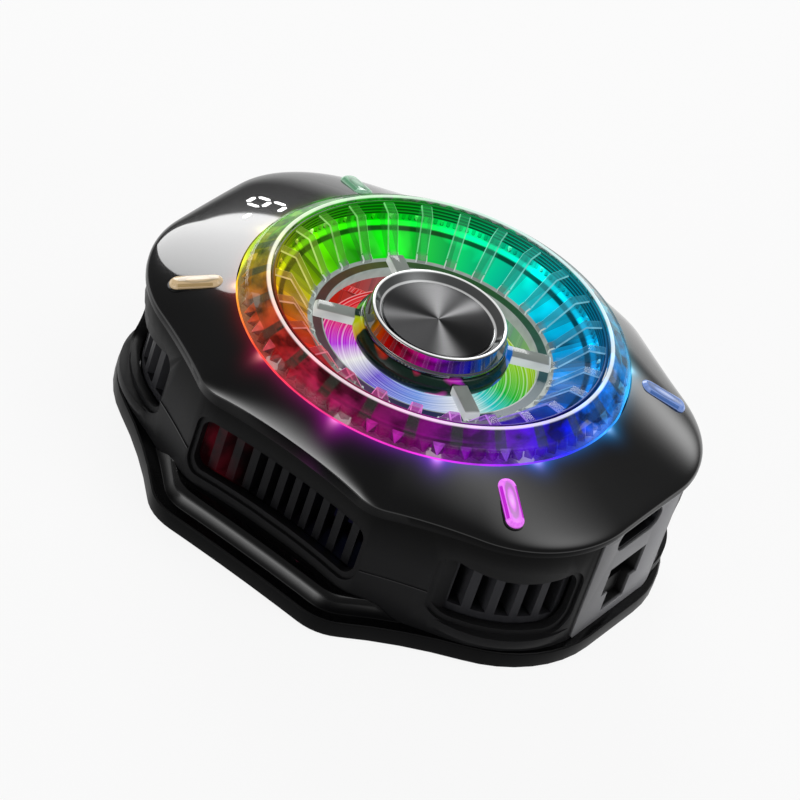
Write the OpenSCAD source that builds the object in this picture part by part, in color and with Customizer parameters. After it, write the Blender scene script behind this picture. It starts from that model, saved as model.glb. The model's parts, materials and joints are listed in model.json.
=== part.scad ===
// Magnetic phone cooler with a light ring: a fan draws air through a vaned bowl onto a finned
// heatsink, a thermoelectric stack chills the plate underneath, and magnets hold it to the phone.
// Millimetres, +Z up, origin at the middle of the underside, +X towards the charging socket.

/* [Overall] */
// Height from the underside to the crest of the light ring
overall_h = 26.2; // [25:0.1:28]
// Length of the base flange along X
base_len = 69; // [67:0.5:72]
// How far the cover stops short of the base flange at each end
cover_setback = 0.5; // [0.2:0.1:1]
// Least width of cover beyond the foot of the light ring, at the front and back
cover_shelf = 2.93; // [2.6:0.1:3.6]
// How far the base flange stands out beyond the cover at the front and back
base_step = 3.7; // [3:0.1:4.5]

/* [Cover] */
// Radius of the cover's four corner lobes
cover_corner_r = 16.2; // [14:0.1:18]
// Half length of the straight stretch at each end of the cover
cover_end_flat = 6.2; // [4:0.1:8]
// Distance of each front shoulder from the middle
cover_front_flat = 11; // [9:0.1:13]
// Radius of the front shoulders
cover_shoulder_r = 6; // [4.5:0.1:8]
// Radius of the shallow hollow between a corner lobe and a shoulder
cover_bow_r = 80; // [60:1:140]
// Depth of the dip in the middle of the front edge
cover_dip = 0.7; // [0.3:0.1:1]
// Drop from the crest of the ring to the widest line of the cover at its ends
rim_drop = 7.1; // [6.6:0.1:7.6]
// Further drop of that line at the front and back
rim_droop = 1.5; // [0.8:0.1:1.8]
// Height of the skirt below the widest line
skirt_h = 0.9; // [0.6:0.1:1.2]
// Slope of the cover at the foot of the ring, where the cover is widest
lip_slope = 18; // [15:0.5:19]
// Lean of the cover's outer edge from upright, where the cover is widest
edge_lean = 6; // [0:0.5:10]
// Share of the cover's width over which its outer edge rounds off
edge_share = 0.12; // [0.08:0.01:0.2]
// Wall of the cover
cover_wall = 1.2; // [1:0.1:1.5]

/* [Base] */
// Radius of the base's four corner lobes
base_corner_r = 17; // [15:0.1:19]
// Half length of the straight stretch at each end of the base
base_end_flat = 5; // [4:0.1:7]
// Distance of each base shoulder from the middle
base_front_flat = 10; // [8:0.1:12]
// Radius of the base shoulders
base_shoulder_r = 6.5; // [5:0.1:8]
// Radius of the shallow hollow between a base lobe and a shoulder
base_bow_r = 60; // [45:1:120]
// Dip in the middle of the base's front edge
base_dip = 0.2; // [0.1:0.05:0.5]
// Thickness of the base flange
flange_h = 2.4; // [2.2:0.1:2.8]
// How far the sill behind the flange edge is set in
sill_setback = 1.6; // [1.2:0.1:2]

/* [Housing] */
// How far the wall is set in under the cover
wall_setback = 0.7; // [0.5:0.1:1]
// Thickness of the wall
wall_t = 1.6; // [1.3:0.1:2]
// Drop from the crest of the ring to the deck that closes the housing
deck_drop = 9.7; // [9.4:0.1:10]
// Thickness of the deck
deck_t = 1.2; // [1:0.1:1.5]
// Width of the front and back windows
window_w = 25.6; // [22:0.2:27]
// Height of the front and back windows
window_h = 8.6; // [7:0.1:9.2]
// Height of the window sills above the underside
window_z = 5.6; // [5.2:0.1:6]
// Corner radius of the windows
window_r = 2; // [1:0.1:3]
// First angle of a corner window, from the long axis
vent_from = 15.5; // [15:0.1:18]
// Last angle of a corner window, from the long axis
vent_to = 46; // [42:0.5:48]
// Height of the corner windows
vent_h = 10; // [8:0.1:10.4]
// Corner radius of the corner windows
vent_r = 3; // [1:0.1:4]
// Width of the step round each window
bezel_w = 0.7; // [0.5:0.05:0.9]
// Depth of that step
bezel_deep = 0.5; // [0.3:0.05:0.8]
// How far the brow over a corner window sags in its middle
brow_sag = 1.4; // [0.8:0.1:2]
// How far the ledge under a corner window stands out from the wall
ledge_reach = 0.7; // [0.4:0.05:0.9]
// Height of that ledge
ledge_h = 1.2; // [0.8:0.1:1.5]

/* [Light ring] */
// Radius of the crest of the light ring
crest_r = 21; // [20.6:0.1:21.4]
// Radius of the foot of the light ring on the cover
foot_r = 24.07; // [23.8:0.01:24.4]
// Drop from the crest to the foot
foot_drop = 3.2; // [2.8:0.1:3.6]
// Wall of the light ring
ring_wall = 0.9; // [0.7:0.05:1.1]
// Drop from the crest to the collar of the vaned bowl
bowl_depth = 5; // [4.6:0.1:5.4]
// Outer radius of the collar
collar_r = 15.1; // [14.6:0.1:15.6]
// Width of the collar
collar_w = 1.9; // [1.5:0.1:2.3]
// Thickness of the bowl's collar and floor
bowl_t = 1.3; // [1:0.1:1.5]
// Number of vanes round the bowl
vanes = 26; // [20:2:30]
// Thickness of a vane
vane_t = 1.4; // [1:0.05:1.6]
// Radius at which the top of a vane kinks downwards
vane_kink_r = 18.2; // [17.6:0.1:18.8]
// Number of lights under the ring
led_count = 12; // [8:2:16]
// Side of a light's square package
led_side = 1.6; // [1.2:0.1:1.8]
// Height of a light's package
led_h = 0.8; // [0.5:0.1:1]

/* [Hub] */
// Radius of the bright rim of the hub cap
hub_rim_r = 8.3; // [7.8:0.1:8.6]
// Radius of the clear disc that carries the hub cap
hub_disc_r = 9.6; // [9.2:0.1:10]
// Drop from the crest of the ring to the rim of the hub cap
hub_drop = 0.9; // [0.6:0.1:1.3]
// Depth of the dish in the hub cap
dish_depth = 1.1; // [0.8:0.1:1.3]
// Radius of the brushed plate in the dish
face_r = 6.8; // [6.2:0.1:7]
// Thickness of the brushed plate
face_t = 0.3; // [0.2:0.05:0.5]
// Width of a spoke
spoke_w = 1.9; // [1.5:0.1:2.4]
// Height of a spoke
spoke_h = 1.3; // [1:0.1:1.5]

/* [Light bars] */
// Angle of the light bars and spokes from the long axis
bar_angle = 34.2; // [32:0.1:36]
// Radius of a bar's inner end
bar_from = 25.6; // [25.4:0.1:26]
// Radius of a bar's outer end
bar_to = 31.6; // [30.6:0.1:31.8]
// Width of a bar
bar_w = 2.3; // [1.9:0.1:2.6]
// How far a bar stands above the cover
bar_proud = 0.7; // [0.5:0.1:1]
// Depth of a bar below the cover's surface
bar_deep = 1.5; // [1.3:0.1:1.8]
// Slope of a bar, down and outwards
bar_slope = 20; // [18:0.5:22]

/* [Fan] */
// Radius of the fan's blade tips
fan_r = 18.4; // [17.6:0.1:18.6]
// Gap between the blade tips and the duct
tip_gap = 1.2; // [0.8:0.1:1.4]
// Number of blades
blades = 11; // [7:1:13]
// Thickness of a blade
blade_t = 0.7; // [0.5:0.05:0.9]
// Pitch of a blade at its root
root_pitch = 48; // [40:1:54]
// Pitch of a blade at its tip
tip_pitch = 30; // [25:1:36]
// Angle by which a blade's tip sweeps ahead of its root
blade_sweep = 24; // [15:1:30]
// Outer radius of the rotor's cup
cup_r = 8.4; // [8:0.1:8.8]
// Radius of the disc that covers the roots of the blades
disc_r = 12.8; // [11:0.1:13]
// Wall of the rotor's cup
cup_wall = 0.85; // [0.7:0.05:1]
// Drop from the crest of the ring to the top of the rotor
rotor_drop = 8; // [7.8:0.1:8.4]
// Radius of the shaft
shaft_r = 0.75; // [0.6:0.05:0.9]
// Running clearance between shaft and sleeve
shaft_fit = 0.03; // [0.02:0.01:0.06]
// Outer radius of the bearing sleeve
sleeve_r = 1.9; // [1.7:0.1:2.1]
// Wall of the tube that holds the sleeve
tube_wall = 0.8; // [0.6:0.1:0.9]
// Height of the stator's iron
stator_h = 3; // [2.4:0.1:3.4]
// Number of stator poles
poles = 6; // [4:2:6]

/* [Cooling stack] */
// Side of the square thermoelectric module
cooler_side = 25; // [23:0.1:26]
// Thickness of each ceramic plate
ceramic_t = 0.7; // [0.6:0.05:0.8]
// Height of the semiconductor legs
leg_h = 1.3; // [1.1:0.05:1.5]
// Number of legs along one side
legs = 6; // [5:1:8]
// Thickness of the thermal pad
pad_t = 0.2; // [0.15:0.05:0.3]
// Radius of the cold plate
cold_r = 21.4; // [21.3:0.05:21.5]
// Thickness of the cold plate
cold_t = 1.5; // [1.4:0.05:1.7]
// Thickness of the heatsink's base
sink_t = 1.8; // [1.5:0.1:2]
// Number of fins
fins = 72; // [60:4:80]
// Thickness of a fin
fin_t = 1; // [0.7:0.05:1.1]

/* [Magnets and contact ring] */
// Number of magnet segments
magnets_n = 16; // [12:2:20]
// Inner radius of the magnet ring
magnet_from = 23.1; // [22.9:0.1:23.4]
// Outer radius of the magnet ring
magnet_to = 27.1; // [26.6:0.1:27.4]
// Thickness of the magnets
magnet_t = 1; // [0.8:0.1:1.1]
// Thickness of the soft contact ring
contact_t = 0.6; // [0.5:0.05:0.7]

/* [Charging socket] */
// Width of the end plate that holds the socket
plate_w = 16.4; // [15:0.1:17]
// Thickness of the end plate
plate_t = 1.8; // [1.5:0.1:2]
// How far the end plate's face lies behind the end of the base
plate_setback = 1.1; // [0.9:0.1:1.4]
// Width of the metal shell of the socket
usb_w = 8.94; // [8.94:0.01:8.94]
// Height of the metal shell of the socket
usb_h = 3.26; // [3.26:0.01:3.26]
// Length of the metal shell of the socket
usb_len = 7.3; // [6.5:0.1:8]
// Drop from the foot of the cover's skirt to the middle of the socket
usb_drop = 2.4; // [2.2:0.1:2.6]
// Width of the accessory seat's bar
seat_w = 7.6; // [7:0.1:8]
// Height of the accessory seat's bar
seat_h = 4.3; // [4.2:0.1:4.4]
// Width of the accessory seat's stem
stem_w = 4.8; // [4.4:0.1:5.2]
// Height of the accessory seat's stem
stem_h = 3; // [2.5:0.1:3.1]
// Depth of the accessory seat's bar
seat_deep = 4.2; // [3.6:0.1:4.6]

/* [Electronics] */
// Thickness of the circuit boards
board_t = 0.8; // [0.6:0.1:1]
// Width of the main board
main_w = 12; // [11:0.1:12.4]
// Width of the display module
display_w = 9; // [8:0.1:10]
// Length of the display module
display_len = 5.4; // [5:0.1:5.8]

/* [Clearances] */
// Gap round parts that drop into a seat
fit = 0.1; // [0.05:0.01:0.15]
// Gap between parts that only pass each other
gap = 0.3; // [0.2:0.05:0.4]

/* [Hidden] */
$fn = 96;
eps = 0.01;

// Plan sizes
base_hl = base_len / 2;
cover_hl = base_hl - cover_setback;
cover_hw = foot_r + cover_shelf;
base_hw = cover_hw + base_step;
base_plan = [base_hl, base_hw, base_corner_r, base_end_flat, base_front_flat, base_shoulder_r,
             base_bow_r, base_dip];
cover_plan = [cover_hl, cover_hw, cover_corner_r, cover_end_flat, cover_front_flat,
              cover_shoulder_r, cover_bow_r, cover_dip];

// Levels from the underside up
stack_h = cold_t + 2 * ceramic_t + leg_h + pad_t;
sink_top = stack_h + sink_t;
frame_t = 1.2;
frame_top = sink_top + frame_t;
stator_seat = frame_top + 2 * board_t;
cup_z = stator_seat - gap;

// Levels from the crest down
deck_top = overall_h - deck_drop;
deck_z = deck_top - deck_t;
rim_z = overall_h - rim_drop;
foot_z = overall_h - foot_drop;
collar_z = overall_h - bowl_depth;
rotor_top = overall_h - rotor_drop;
hub_rim_z = overall_h - hub_drop;
led_board_z = collar_z - board_t;
lip_top = rim_z - gap;
tube_top = stator_seat + stator_h + 1.5;
boss_z = tube_top + 0.5;

// Radii that follow from others
duct_r = fan_r + tip_gap;
duct_wall = 1.2;
pocket_r = duct_r + duct_wall;
cold_bore_r = cold_r + fit;
bowl_lip = 0.4;
bowl_r = crest_r - bowl_lip;
opening_r = foot_r + 2 * fit;
sleeve_bore_r = shaft_r + shaft_fit;
tube_r = sleeve_r + fit / 2 + tube_wall;
stator_ledge_r = tube_r + 0.6;
cup_inner_r = cup_r - cup_wall;
rotor_magnet_t = 0.8;
magnet_gap = 0.4;
rotor_magnet_r = cup_inner_r - fit / 2;
stator_r = rotor_magnet_r - rotor_magnet_t - magnet_gap;

// Places along X
wall_hl = cover_hl - wall_setback;
wall_inner_x = wall_hl - wall_t;
plate_x = base_hl - plate_setback;
tub_x = pocket_r + gap;
tub_wall = 1;
usb_z = rim_z - skirt_h - usb_drop;
tub_w = main_w + 2 * fit + 2 * tub_wall;
main_z = usb_z - usb_h / 2 - board_t;
tub_z = main_z - deck_t;
main_x = tub_x + tub_wall + fit;
main_len = plate_x - plate_t - gap - main_x;
lip_setback = wall_setback + wall_t - fit;
lip_t = 1.2;
display_x = cover_hl - lip_setback - lip_t - gap - display_len / 2;
seat_wall = 0.6;
seat_top = tub_z - gap - seat_wall;
seat_z = seat_top - seat_h - stem_h;
seat_block_w = seat_w + 2 * seat_wall;
seat_back = plate_x - seat_deep - seat_wall;
fin_top = deck_z - gap;
fin_setback = wall_setback + wall_t + gap;

// Points of an arc from angle a to angle b
function arc(c, r, a, b, n) =
    [for (i = [0:n]) c + r * [cos(a + (b - a) * i / n), sin(a + (b - a) * i / n)]];
function bearing(v) = atan2(v[1], v[0]);
// Point at distance ra from a and rb from b, on the right of the way from a to b
function outside(a, ra, b, rb) =
    let (d = b - a, len = norm(d), along = (ra * ra - rb * rb + len * len) / (2 * len))
    a + along * d / len + sqrt(ra * ra - along * along) * [d[1], -d[0]] / len;
// Centre height of the arc that dips between the two shoulders
function dip_centre(x, top, r, dip) =
    let (k = r - dip, rd = (x * x + k * k - r * r) / (2 * dip)) [rd, top - dip + rd];
// One quarter of a lobed outline, from the end to the front, set in by d
function quarter(plan, d) =
    let (
        corner = [plan[0] - plan[2], plan[3]],
        shoulder = [plan[4], plan[1] - plan[5]],
        bow = outside(corner, plan[2] + plan[6], shoulder, plan[5] + plan[6]),
        dip = dip_centre(plan[4], plan[1], plan[5], plan[7]),
        dip_c = [0, dip[1]],
        turn = bearing(bow - corner),
        back = bearing(corner - bow),
        ahead = bearing(shoulder - bow),
        straight = [for (s = [1, 3, 5]) [plan[0] - d, plan[3] * s / 6]],
        bow_arc = arc(bow, plan[6] + d, back, ahead - (ahead > back ? 360 : 0), 4),
        dip_arc = arc(dip_c, dip[0] + d, bearing(shoulder - dip_c), -90, 4)
    )
    concat(
        straight,
        arc(corner, plan[2] - d, 0, turn, 8),
        [for (i = [1:3]) bow_arc[i]],
        arc(shoulder, plan[5] - d, bearing(bow - shoulder), bearing(dip_c - shoulder), 6),
        [for (i = [1:3]) dip_arc[i]]
    );
function flip(q, sx, sy) = [for (p = q) [p[0] * sx, p[1] * sy]];
function turned(q) = [for (i = [len(q) - 1:-1:0]) q[i]];
// The whole outline, counter-clockwise, set in by d
function outline(plan, d) =
    let (q = quarter(plan, d))
    concat(q, turned(flip(q, -1, 1)), flip(q, -1, -1), turned(flip(q, 1, -1)));
function raise(points, z) = [for (p = points) [p[0], p[1], z]];

// Triangles that join ring j to ring k of n points each
function band(j, k, n) =
    [for (i = [0:n - 1], half = [0, 1])
        let (e = (i + 1) % n)
        half == 0 ? [j * n + i, k * n + i, k * n + e] : [j * n + i, k * n + e, j * n + e]];
// Solid between rings stacked from the bottom up, its ends closed round their middle
module stacked(rings) {
    n = len(rings[0]);
    m = len(rings);
    middles = [[0, 0, rings[0][0][2]], [0, 0, rings[m - 1][0][2]]];
    bands = [for (j = [0:m - 2]) each band(j, j + 1, n)];
    floor = [for (i = [0:n - 1]) [i, (i + 1) % n, m * n]];
    roof = [for (i = [0:n - 1]) [(m - 1) * n + (i + 1) % n, (m - 1) * n + i, m * n + 1]];
    polyhedron(concat([for (r = rings) each r], middles), concat(bands, floor, roof));
}
// Hollow shell whose last ring joins its first
module wrapped(rings) {
    n = len(rings[0]);
    m = len(rings);
    polyhedron([for (r = rings) each r], [for (j = [0:m - 1]) each band(j, (j + 1) % m, n)]);
}
module slab(plan, inset, z, h) {
    translate([0, 0, z])
        linear_extrude(h)
            polygon(outline(plan, inset));
}
module tube(r_out, r_in, z, h) {
    translate([0, 0, z])
        difference() {
            cylinder(h = h, r = r_out);
            translate([0, 0, -eps])
                cylinder(h = h + 2 * eps, r = r_in);
        }
}
module centred_box(w, l, z, h) {
    translate([-w / 2, -l / 2, z])
        cube([w, l, h]);
}
// Flat shape with straight sides and rounded corners
module rounded(w, h, r) {
    square([w - 2 * r, h], center = true);
    square([w, h - 2 * r], center = true);
    for (x = [-1, 1], y = [-1, 1])
        translate([x * (w / 2 - r), y * (h / 2 - r)])
            circle(r);
}
// Flat shape with half-round ends
module pill(w, h) {
    square([w - h, h], center = true);
    for (x = [-1, 1])
        translate([x * (w - h) / 2, 0])
            circle(h / 2);
}
// Extrusion along X of a flat shape drawn in Y and Z
module along_x(x, len) {
    translate([x, 0, 0])
        rotate([90, 0, 90])
            linear_extrude(len)
                children();
}
module each_corner() {
    for (a = [bar_angle, 180 - bar_angle, 180 + bar_angle, -bar_angle])
        rotate(a)
            children();
}

// Base and contact side
module base_tray() {
    edge = 0.35;
    sill = [
        [edge, 0], [0, edge], [0, flange_h - edge / 2], [edge / 2, flange_h],
        [sill_setback, flange_h], [sill_setback + edge, flange_h + 2 * edge],
        [sill_setback + 2 * edge, stack_h - edge], [sill_setback + 4 * edge, stack_h]
    ];
    channel_z = contact_t + magnet_t + fit / 2;
    color([0.06, 0.06, 0.07])
    difference() {
        union() {
            difference() {
                stacked([for (s = sill) raise(outline(base_plan, s[0]), s[1])]);
                slab(cover_plan, wall_setback - fit, flange_h, stack_h);
            }
            slab(cover_plan, wall_setback + wall_t + fit, flange_h - eps, stack_h - flange_h + eps);
        }
        translate([0, 0, -eps])
            cylinder(h = stack_h + 2 * eps, r = cold_bore_r);
        tube(magnet_to + 1 + fit, magnet_from - 1 - fit, -eps, contact_t + eps);
        tube(magnet_to + fit, magnet_from - fit, contact_t - eps, channel_z - contact_t + eps);
        seat_block(gap);
    }
}
module contact_ring() {
    color([0.16, 0.16, 0.17])
        tube(magnet_to + 1, magnet_from - 1, 0, contact_t);
}
module magnet_segments() {
    pitch = 360 / magnets_n;
    spare = 2;
    color([0.7, 0.71, 0.74])
        for (i = [0:magnets_n - 1])
            rotate((i + 0.5) * pitch)
                rotate_extrude(angle = pitch - spare)
                    translate([magnet_from, contact_t])
                        square([magnet_to - magnet_from, magnet_t]);
}
module cold_plate() {
    edge = 0.3;
    color([0.78, 0.8, 0.82])
        rotate_extrude()
            polygon([[0, 0], [cold_r - edge, 0], [cold_r, edge], [cold_r, cold_t], [0, cold_t]]);
}

// Thermoelectric stack
module cold_ceramic() {
    color([0.93, 0.93, 0.9])
        centred_box(cooler_side, cooler_side, cold_t, ceramic_t);
}
module cooler_legs() {
    pitch = cooler_side / legs;
    side = pitch / 2;
    first = -cooler_side / 2 + pitch / 2;
    color([0.35, 0.36, 0.4])
        for (i = [0:legs - 1], j = [0:legs - 1])
            translate([first + i * pitch, first + j * pitch, 0])
                centred_box(side, side, cold_t + ceramic_t, leg_h);
}
module hot_ceramic() {
    color([0.93, 0.93, 0.9])
        centred_box(cooler_side, cooler_side, cold_t + ceramic_t + leg_h, ceramic_t);
}
module thermal_pad() {
    color([0.55, 0.6, 0.68])
        centred_box(cooler_side, cooler_side, stack_h - pad_t, pad_t);
}
sensor = [2, 1.4, 0.9];
sensor_x = (cooler_side / 2 + cold_r) / 2;
module insulation_ring() {
    hole = cooler_side + 2 * fit;
    color([0.2, 0.2, 0.22])
        difference() {
            translate([0, 0, cold_t])
                cylinder(h = stack_h - cold_t, r = cold_r - fit);
            centred_box(hole, hole, cold_t - eps, stack_h);
            translate([sensor_x, 0, 0])
                centred_box(sensor[0] + 2 * fit, sensor[1] + 2 * fit, cold_t - eps, sensor[2] + fit);
        }
}
module temp_sensor() {
    color([0.1, 0.1, 0.1])
        translate([sensor_x, 0, 0])
            centred_box(sensor[0], sensor[1], cold_t, sensor[2]);
}
screw_ring_r = pocket_r - 1.8;
screw_r = 0.6;
screw_head_r = 1;
screw_len = 1.2;
module at_screws() {
    for (i = [0:2])
        rotate(90 + i * 120)
            translate([screw_ring_r, 0, 0])
                children();
}
module heatsink() {
    color([0.3, 0.3, 0.32])
    difference() {
        union() {
            slab(cover_plan, fin_setback, stack_h, sink_t);
            translate([0, 0, sink_top - eps])
                linear_extrude(fin_top - sink_top + eps)
                    intersection() {
                        polygon(outline(cover_plan, fin_setback));
                        for (i = [0:fins - 1])
                            rotate((i + 0.5) * 360 / fins)
                                translate([pocket_r, -fin_t / 2])
                                    square([base_hl, fin_t]);
                    }
        }
        translate([tub_x - gap, -tub_w / 2 - gap, tub_z - gap])
            cube([base_hl, tub_w + 2 * gap, fin_top]);
        seat_block(gap);
        at_screws()
            translate([0, 0, sink_top - screw_len])
                cylinder(h = screw_len + eps, r = screw_r + fit / 2);
    }
}

// Fan and motor
frame_r = pocket_r - gap;
module fan_frame() {
    ring_w = 2.6;
    strut_w = 2.6;
    pocket = sleeve_r + fit / 2;
    color([0.1, 0.1, 0.11])
    difference() {
        union() {
            translate([0, 0, sink_top])
                linear_extrude(frame_t)
                    difference() {
                        union() {
                            difference() {
                                circle(frame_r);
                                circle(frame_r - ring_w);
                            }
                            circle(cup_r);
                            for (i = [0:2])
                                rotate(30 + i * 120)
                                    translate([0, -strut_w / 2])
                                        square([frame_r - ring_w / 2, strut_w]);
                        }
                        at_screws()
                            circle(screw_r + fit / 2);
                    }
            rotate_extrude()
                polygon([
                    [0, frame_top - eps], [stator_ledge_r, frame_top - eps], [stator_ledge_r, stator_seat],
                    [tube_r, stator_seat], [tube_r, tube_top], [0, tube_top]
                ]);
        }
        translate([0, 0, frame_top - frame_t / 2])
            cylinder(h = tube_top, r = pocket);
    }
}
module fan_screws() {
    head_h = 0.6;
    color([0.6, 0.61, 0.63])
        at_screws() {
            translate([0, 0, sink_top - screw_len + fit])
                cylinder(h = screw_len + frame_t, r = screw_r);
            translate([0, 0, frame_top])
                cylinder(h = head_h, r = screw_head_r);
        }
}
module motor_board() {
    color([0.05, 0.3, 0.14])
        tube(cup_inner_r, stator_ledge_r + fit, frame_top, board_t);
}
shoe_t = 0.8;
tooth_w = 1.3;
core_r = tube_r + 0.9;
module stator_core() {
    slot_angle = 16;
    span = 360 / poles - slot_angle;
    color([0.5, 0.5, 0.52])
    translate([0, 0, stator_seat])
        linear_extrude(stator_h)
            difference() {
                union() {
                    circle(core_r);
                    for (i = [0:poles - 1])
                        rotate(i * 360 / poles) {
                            translate([0, -tooth_w / 2])
                                square([stator_r - shoe_t / 2, tooth_w]);
                            intersection() {
                                difference() {
                                    circle(stator_r);
                                    circle(stator_r - shoe_t);
                                }
                                polygon([[0, 0], 2 * stator_r * [cos(span / 2), -sin(span / 2)],
                                         2 * stator_r * [cos(span / 2), sin(span / 2)]]);
                            }
                        }
                }
                circle(tube_r + fit / 2);
            }
}
module stator_coils() {
    wire_t = 0.35;
    from = core_r + fit;
    len = stator_r - shoe_t - fit - from;
    hole_w = tooth_w + fit;
    hole_h = stator_h + fit;
    color([0.72, 0.4, 0.18])
        for (i = [0:poles - 1])
            rotate(i * 360 / poles)
                translate([from, 0, stator_seat + stator_h / 2])
                    rotate([90, 0, 90])
                        linear_extrude(len)
                            difference() {
                                square([hole_w + 2 * wire_t, hole_h + 2 * wire_t], center = true);
                                square([hole_w, hole_h], center = true);
                            }
}
module bearing_sleeve() {
    from = frame_top - frame_t / 2;
    color([0.7, 0.52, 0.25])
        tube(sleeve_r, sleeve_bore_r, from, tube_top - gap - from);
}
cap_t = 1.2;
module fan_shaft() {
    from = frame_top - frame_t / 2 + gap;
    color([0.8, 0.8, 0.82])
        translate([0, 0, from])
            cylinder(h = rotor_top - cap_t / 2 - from, r = shaft_r);
}
module rotor_magnet() {
    color([0.25, 0.25, 0.27])
        tube(rotor_magnet_r, rotor_magnet_r - rotor_magnet_t, cup_z + gap, stator_h + gap);
}
// Section of a blade at share s of its span: a thin curved strip wrapped round the axis
blade_steps = 8;
chord_steps = 6;
blade_camber = 0.6;
blade_taper = 0.25;
function blade_section(s) =
    let (
        r = cup_r - cup_wall / 2 + s * (fan_r - cup_r + cup_wall / 2),
        pitch = root_pitch + s * (tip_pitch - root_pitch),
        low = cup_z + 2 * gap,
        tall = rotor_top - cap_t - low,
        rise = tall * (1 - blade_taper * s),
        middle = low + tall / 2,
        side = function (t, up)
            let (
                u = t - 0.5,
                belly = blade_camber * (1 - 4 * u * u) + (up - 0.5) * blade_t,
                along = u * rise / tan(pitch) - belly * sin(pitch),
                turn = blade_sweep * s * s + along / r * 180 / PI
            )
            [r * cos(turn), r * sin(turn), middle + u * rise + belly * cos(pitch)]
    )
    concat([for (i = [0:chord_steps]) side(i / chord_steps, 0)],
           [for (i = [chord_steps:-1:0]) side(i / chord_steps, 1)]);
module blade() {
    n = 2 * (chord_steps + 1);
    rings = [for (j = [0:blade_steps]) blade_section(j / blade_steps)];
    bands = [for (j = [0:blade_steps - 1]) each band(j, j + 1, n)];
    root = [for (i = [0:chord_steps - 1], t = [0, 1])
        t == 0 ? [i, i + 1, n - 1 - i] : [i + 1, n - 2 - i, n - 1 - i]];
    tip = [for (f = root) [for (k = [2, 1, 0]) f[k] + blade_steps * n]];
    polyhedron([for (r = rings) each r], concat(bands, root, tip));
}
module fan_rotor() {
    boss_r = 2.2;
    color([0.75, 0.78, 0.82])
    difference() {
        union() {
            tube(cup_r, cup_inner_r, cup_z, rotor_top - cup_z);
            translate([0, 0, rotor_top - cap_t])
                cylinder(h = cap_t, r = disc_r);
            translate([0, 0, boss_z])
                cylinder(h = rotor_top - boss_z, r = boss_r);
            for (i = [0:blades - 1])
                rotate(i * 360 / blades)
                    blade();
        }
        translate([0, 0, boss_z - eps])
            cylinder(h = rotor_top - cap_t / 2 - boss_z + eps, r = shaft_r + fit / 10);
    }
}

// Housing, end plate and electronics
module wall_window(shrink) {
    translate([0, 0, window_z + window_h / 2])
        rotate([90, 0, 0])
            linear_extrude(2 * base_hw, center = true)
                rounded(window_w - 2 * shrink, window_h - 2 * shrink, window_r - shrink / 2);
}
vent_z = window_z - 1;
vent_w = 2 * wall_hl * sin((vent_to - vent_from) / 2);
vent_mid = (vent_from + vent_to) / 2;
// Flat shapes drawn across the middle of each corner window, pulled out through the wall
module at_vents() {
    vent_reach = 3;
    for (a = [vent_mid, 180 - vent_mid, 180 + vent_mid, -vent_mid])
        rotate(a)
            along_x(wall_inner_x - vent_reach, base_hl)
                translate([0, vent_z + vent_h / 2])
                    children();
}
module vent_shape(shrink) {
    rounded(vent_w - 2 * shrink, vent_h - 2 * shrink, vent_r - shrink / 2);
}
// Round that the brow follows as it sags into a corner window
module brow() {
    half = vent_w / 2 - bezel_w;
    r = (half * half + brow_sag * brow_sag) / (2 * brow_sag);
    translate([0, vent_h / 2 - bezel_w + r - brow_sag])
        circle(r);
}
// Crescent ledges under the corner windows, round a centre that lies further out than the wall's own
module vent_ledges() {
    tip = 34;
    lobe = [cover_hl - cover_corner_r, cover_end_flat];
    wall_r = cover_corner_r - wall_setback;
    out = wall_r + ledge_reach;
    ahead = [cos(vent_mid), sin(vent_mid)];
    aside = lobe[1] * ahead[0] - lobe[0] * ahead[1];
    front = (lobe * ahead + sqrt(wall_r * wall_r - aside * aside)) * ahead;
    shift = (out * out - wall_r * wall_r) / (2 * (out - wall_r * cos(tip)));
    middle = lobe + shift * (front - lobe) / wall_r;
    difference() {
        for (x = [-1, 1], y = [-1, 1])
            translate([x * middle[0], y * middle[1], vent_z - ledge_h])
                cylinder(h = ledge_h, r = out - shift);
        slab(cover_plan, wall_setback + wall_t / 2, vent_z - ledge_h - eps, ledge_h + 2 * eps);
    }
}
module usb_slot(grow) {
    translate([0, usb_z])
        pill(usb_w + 2 * grow, usb_h + 2 * grow);
}
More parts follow.
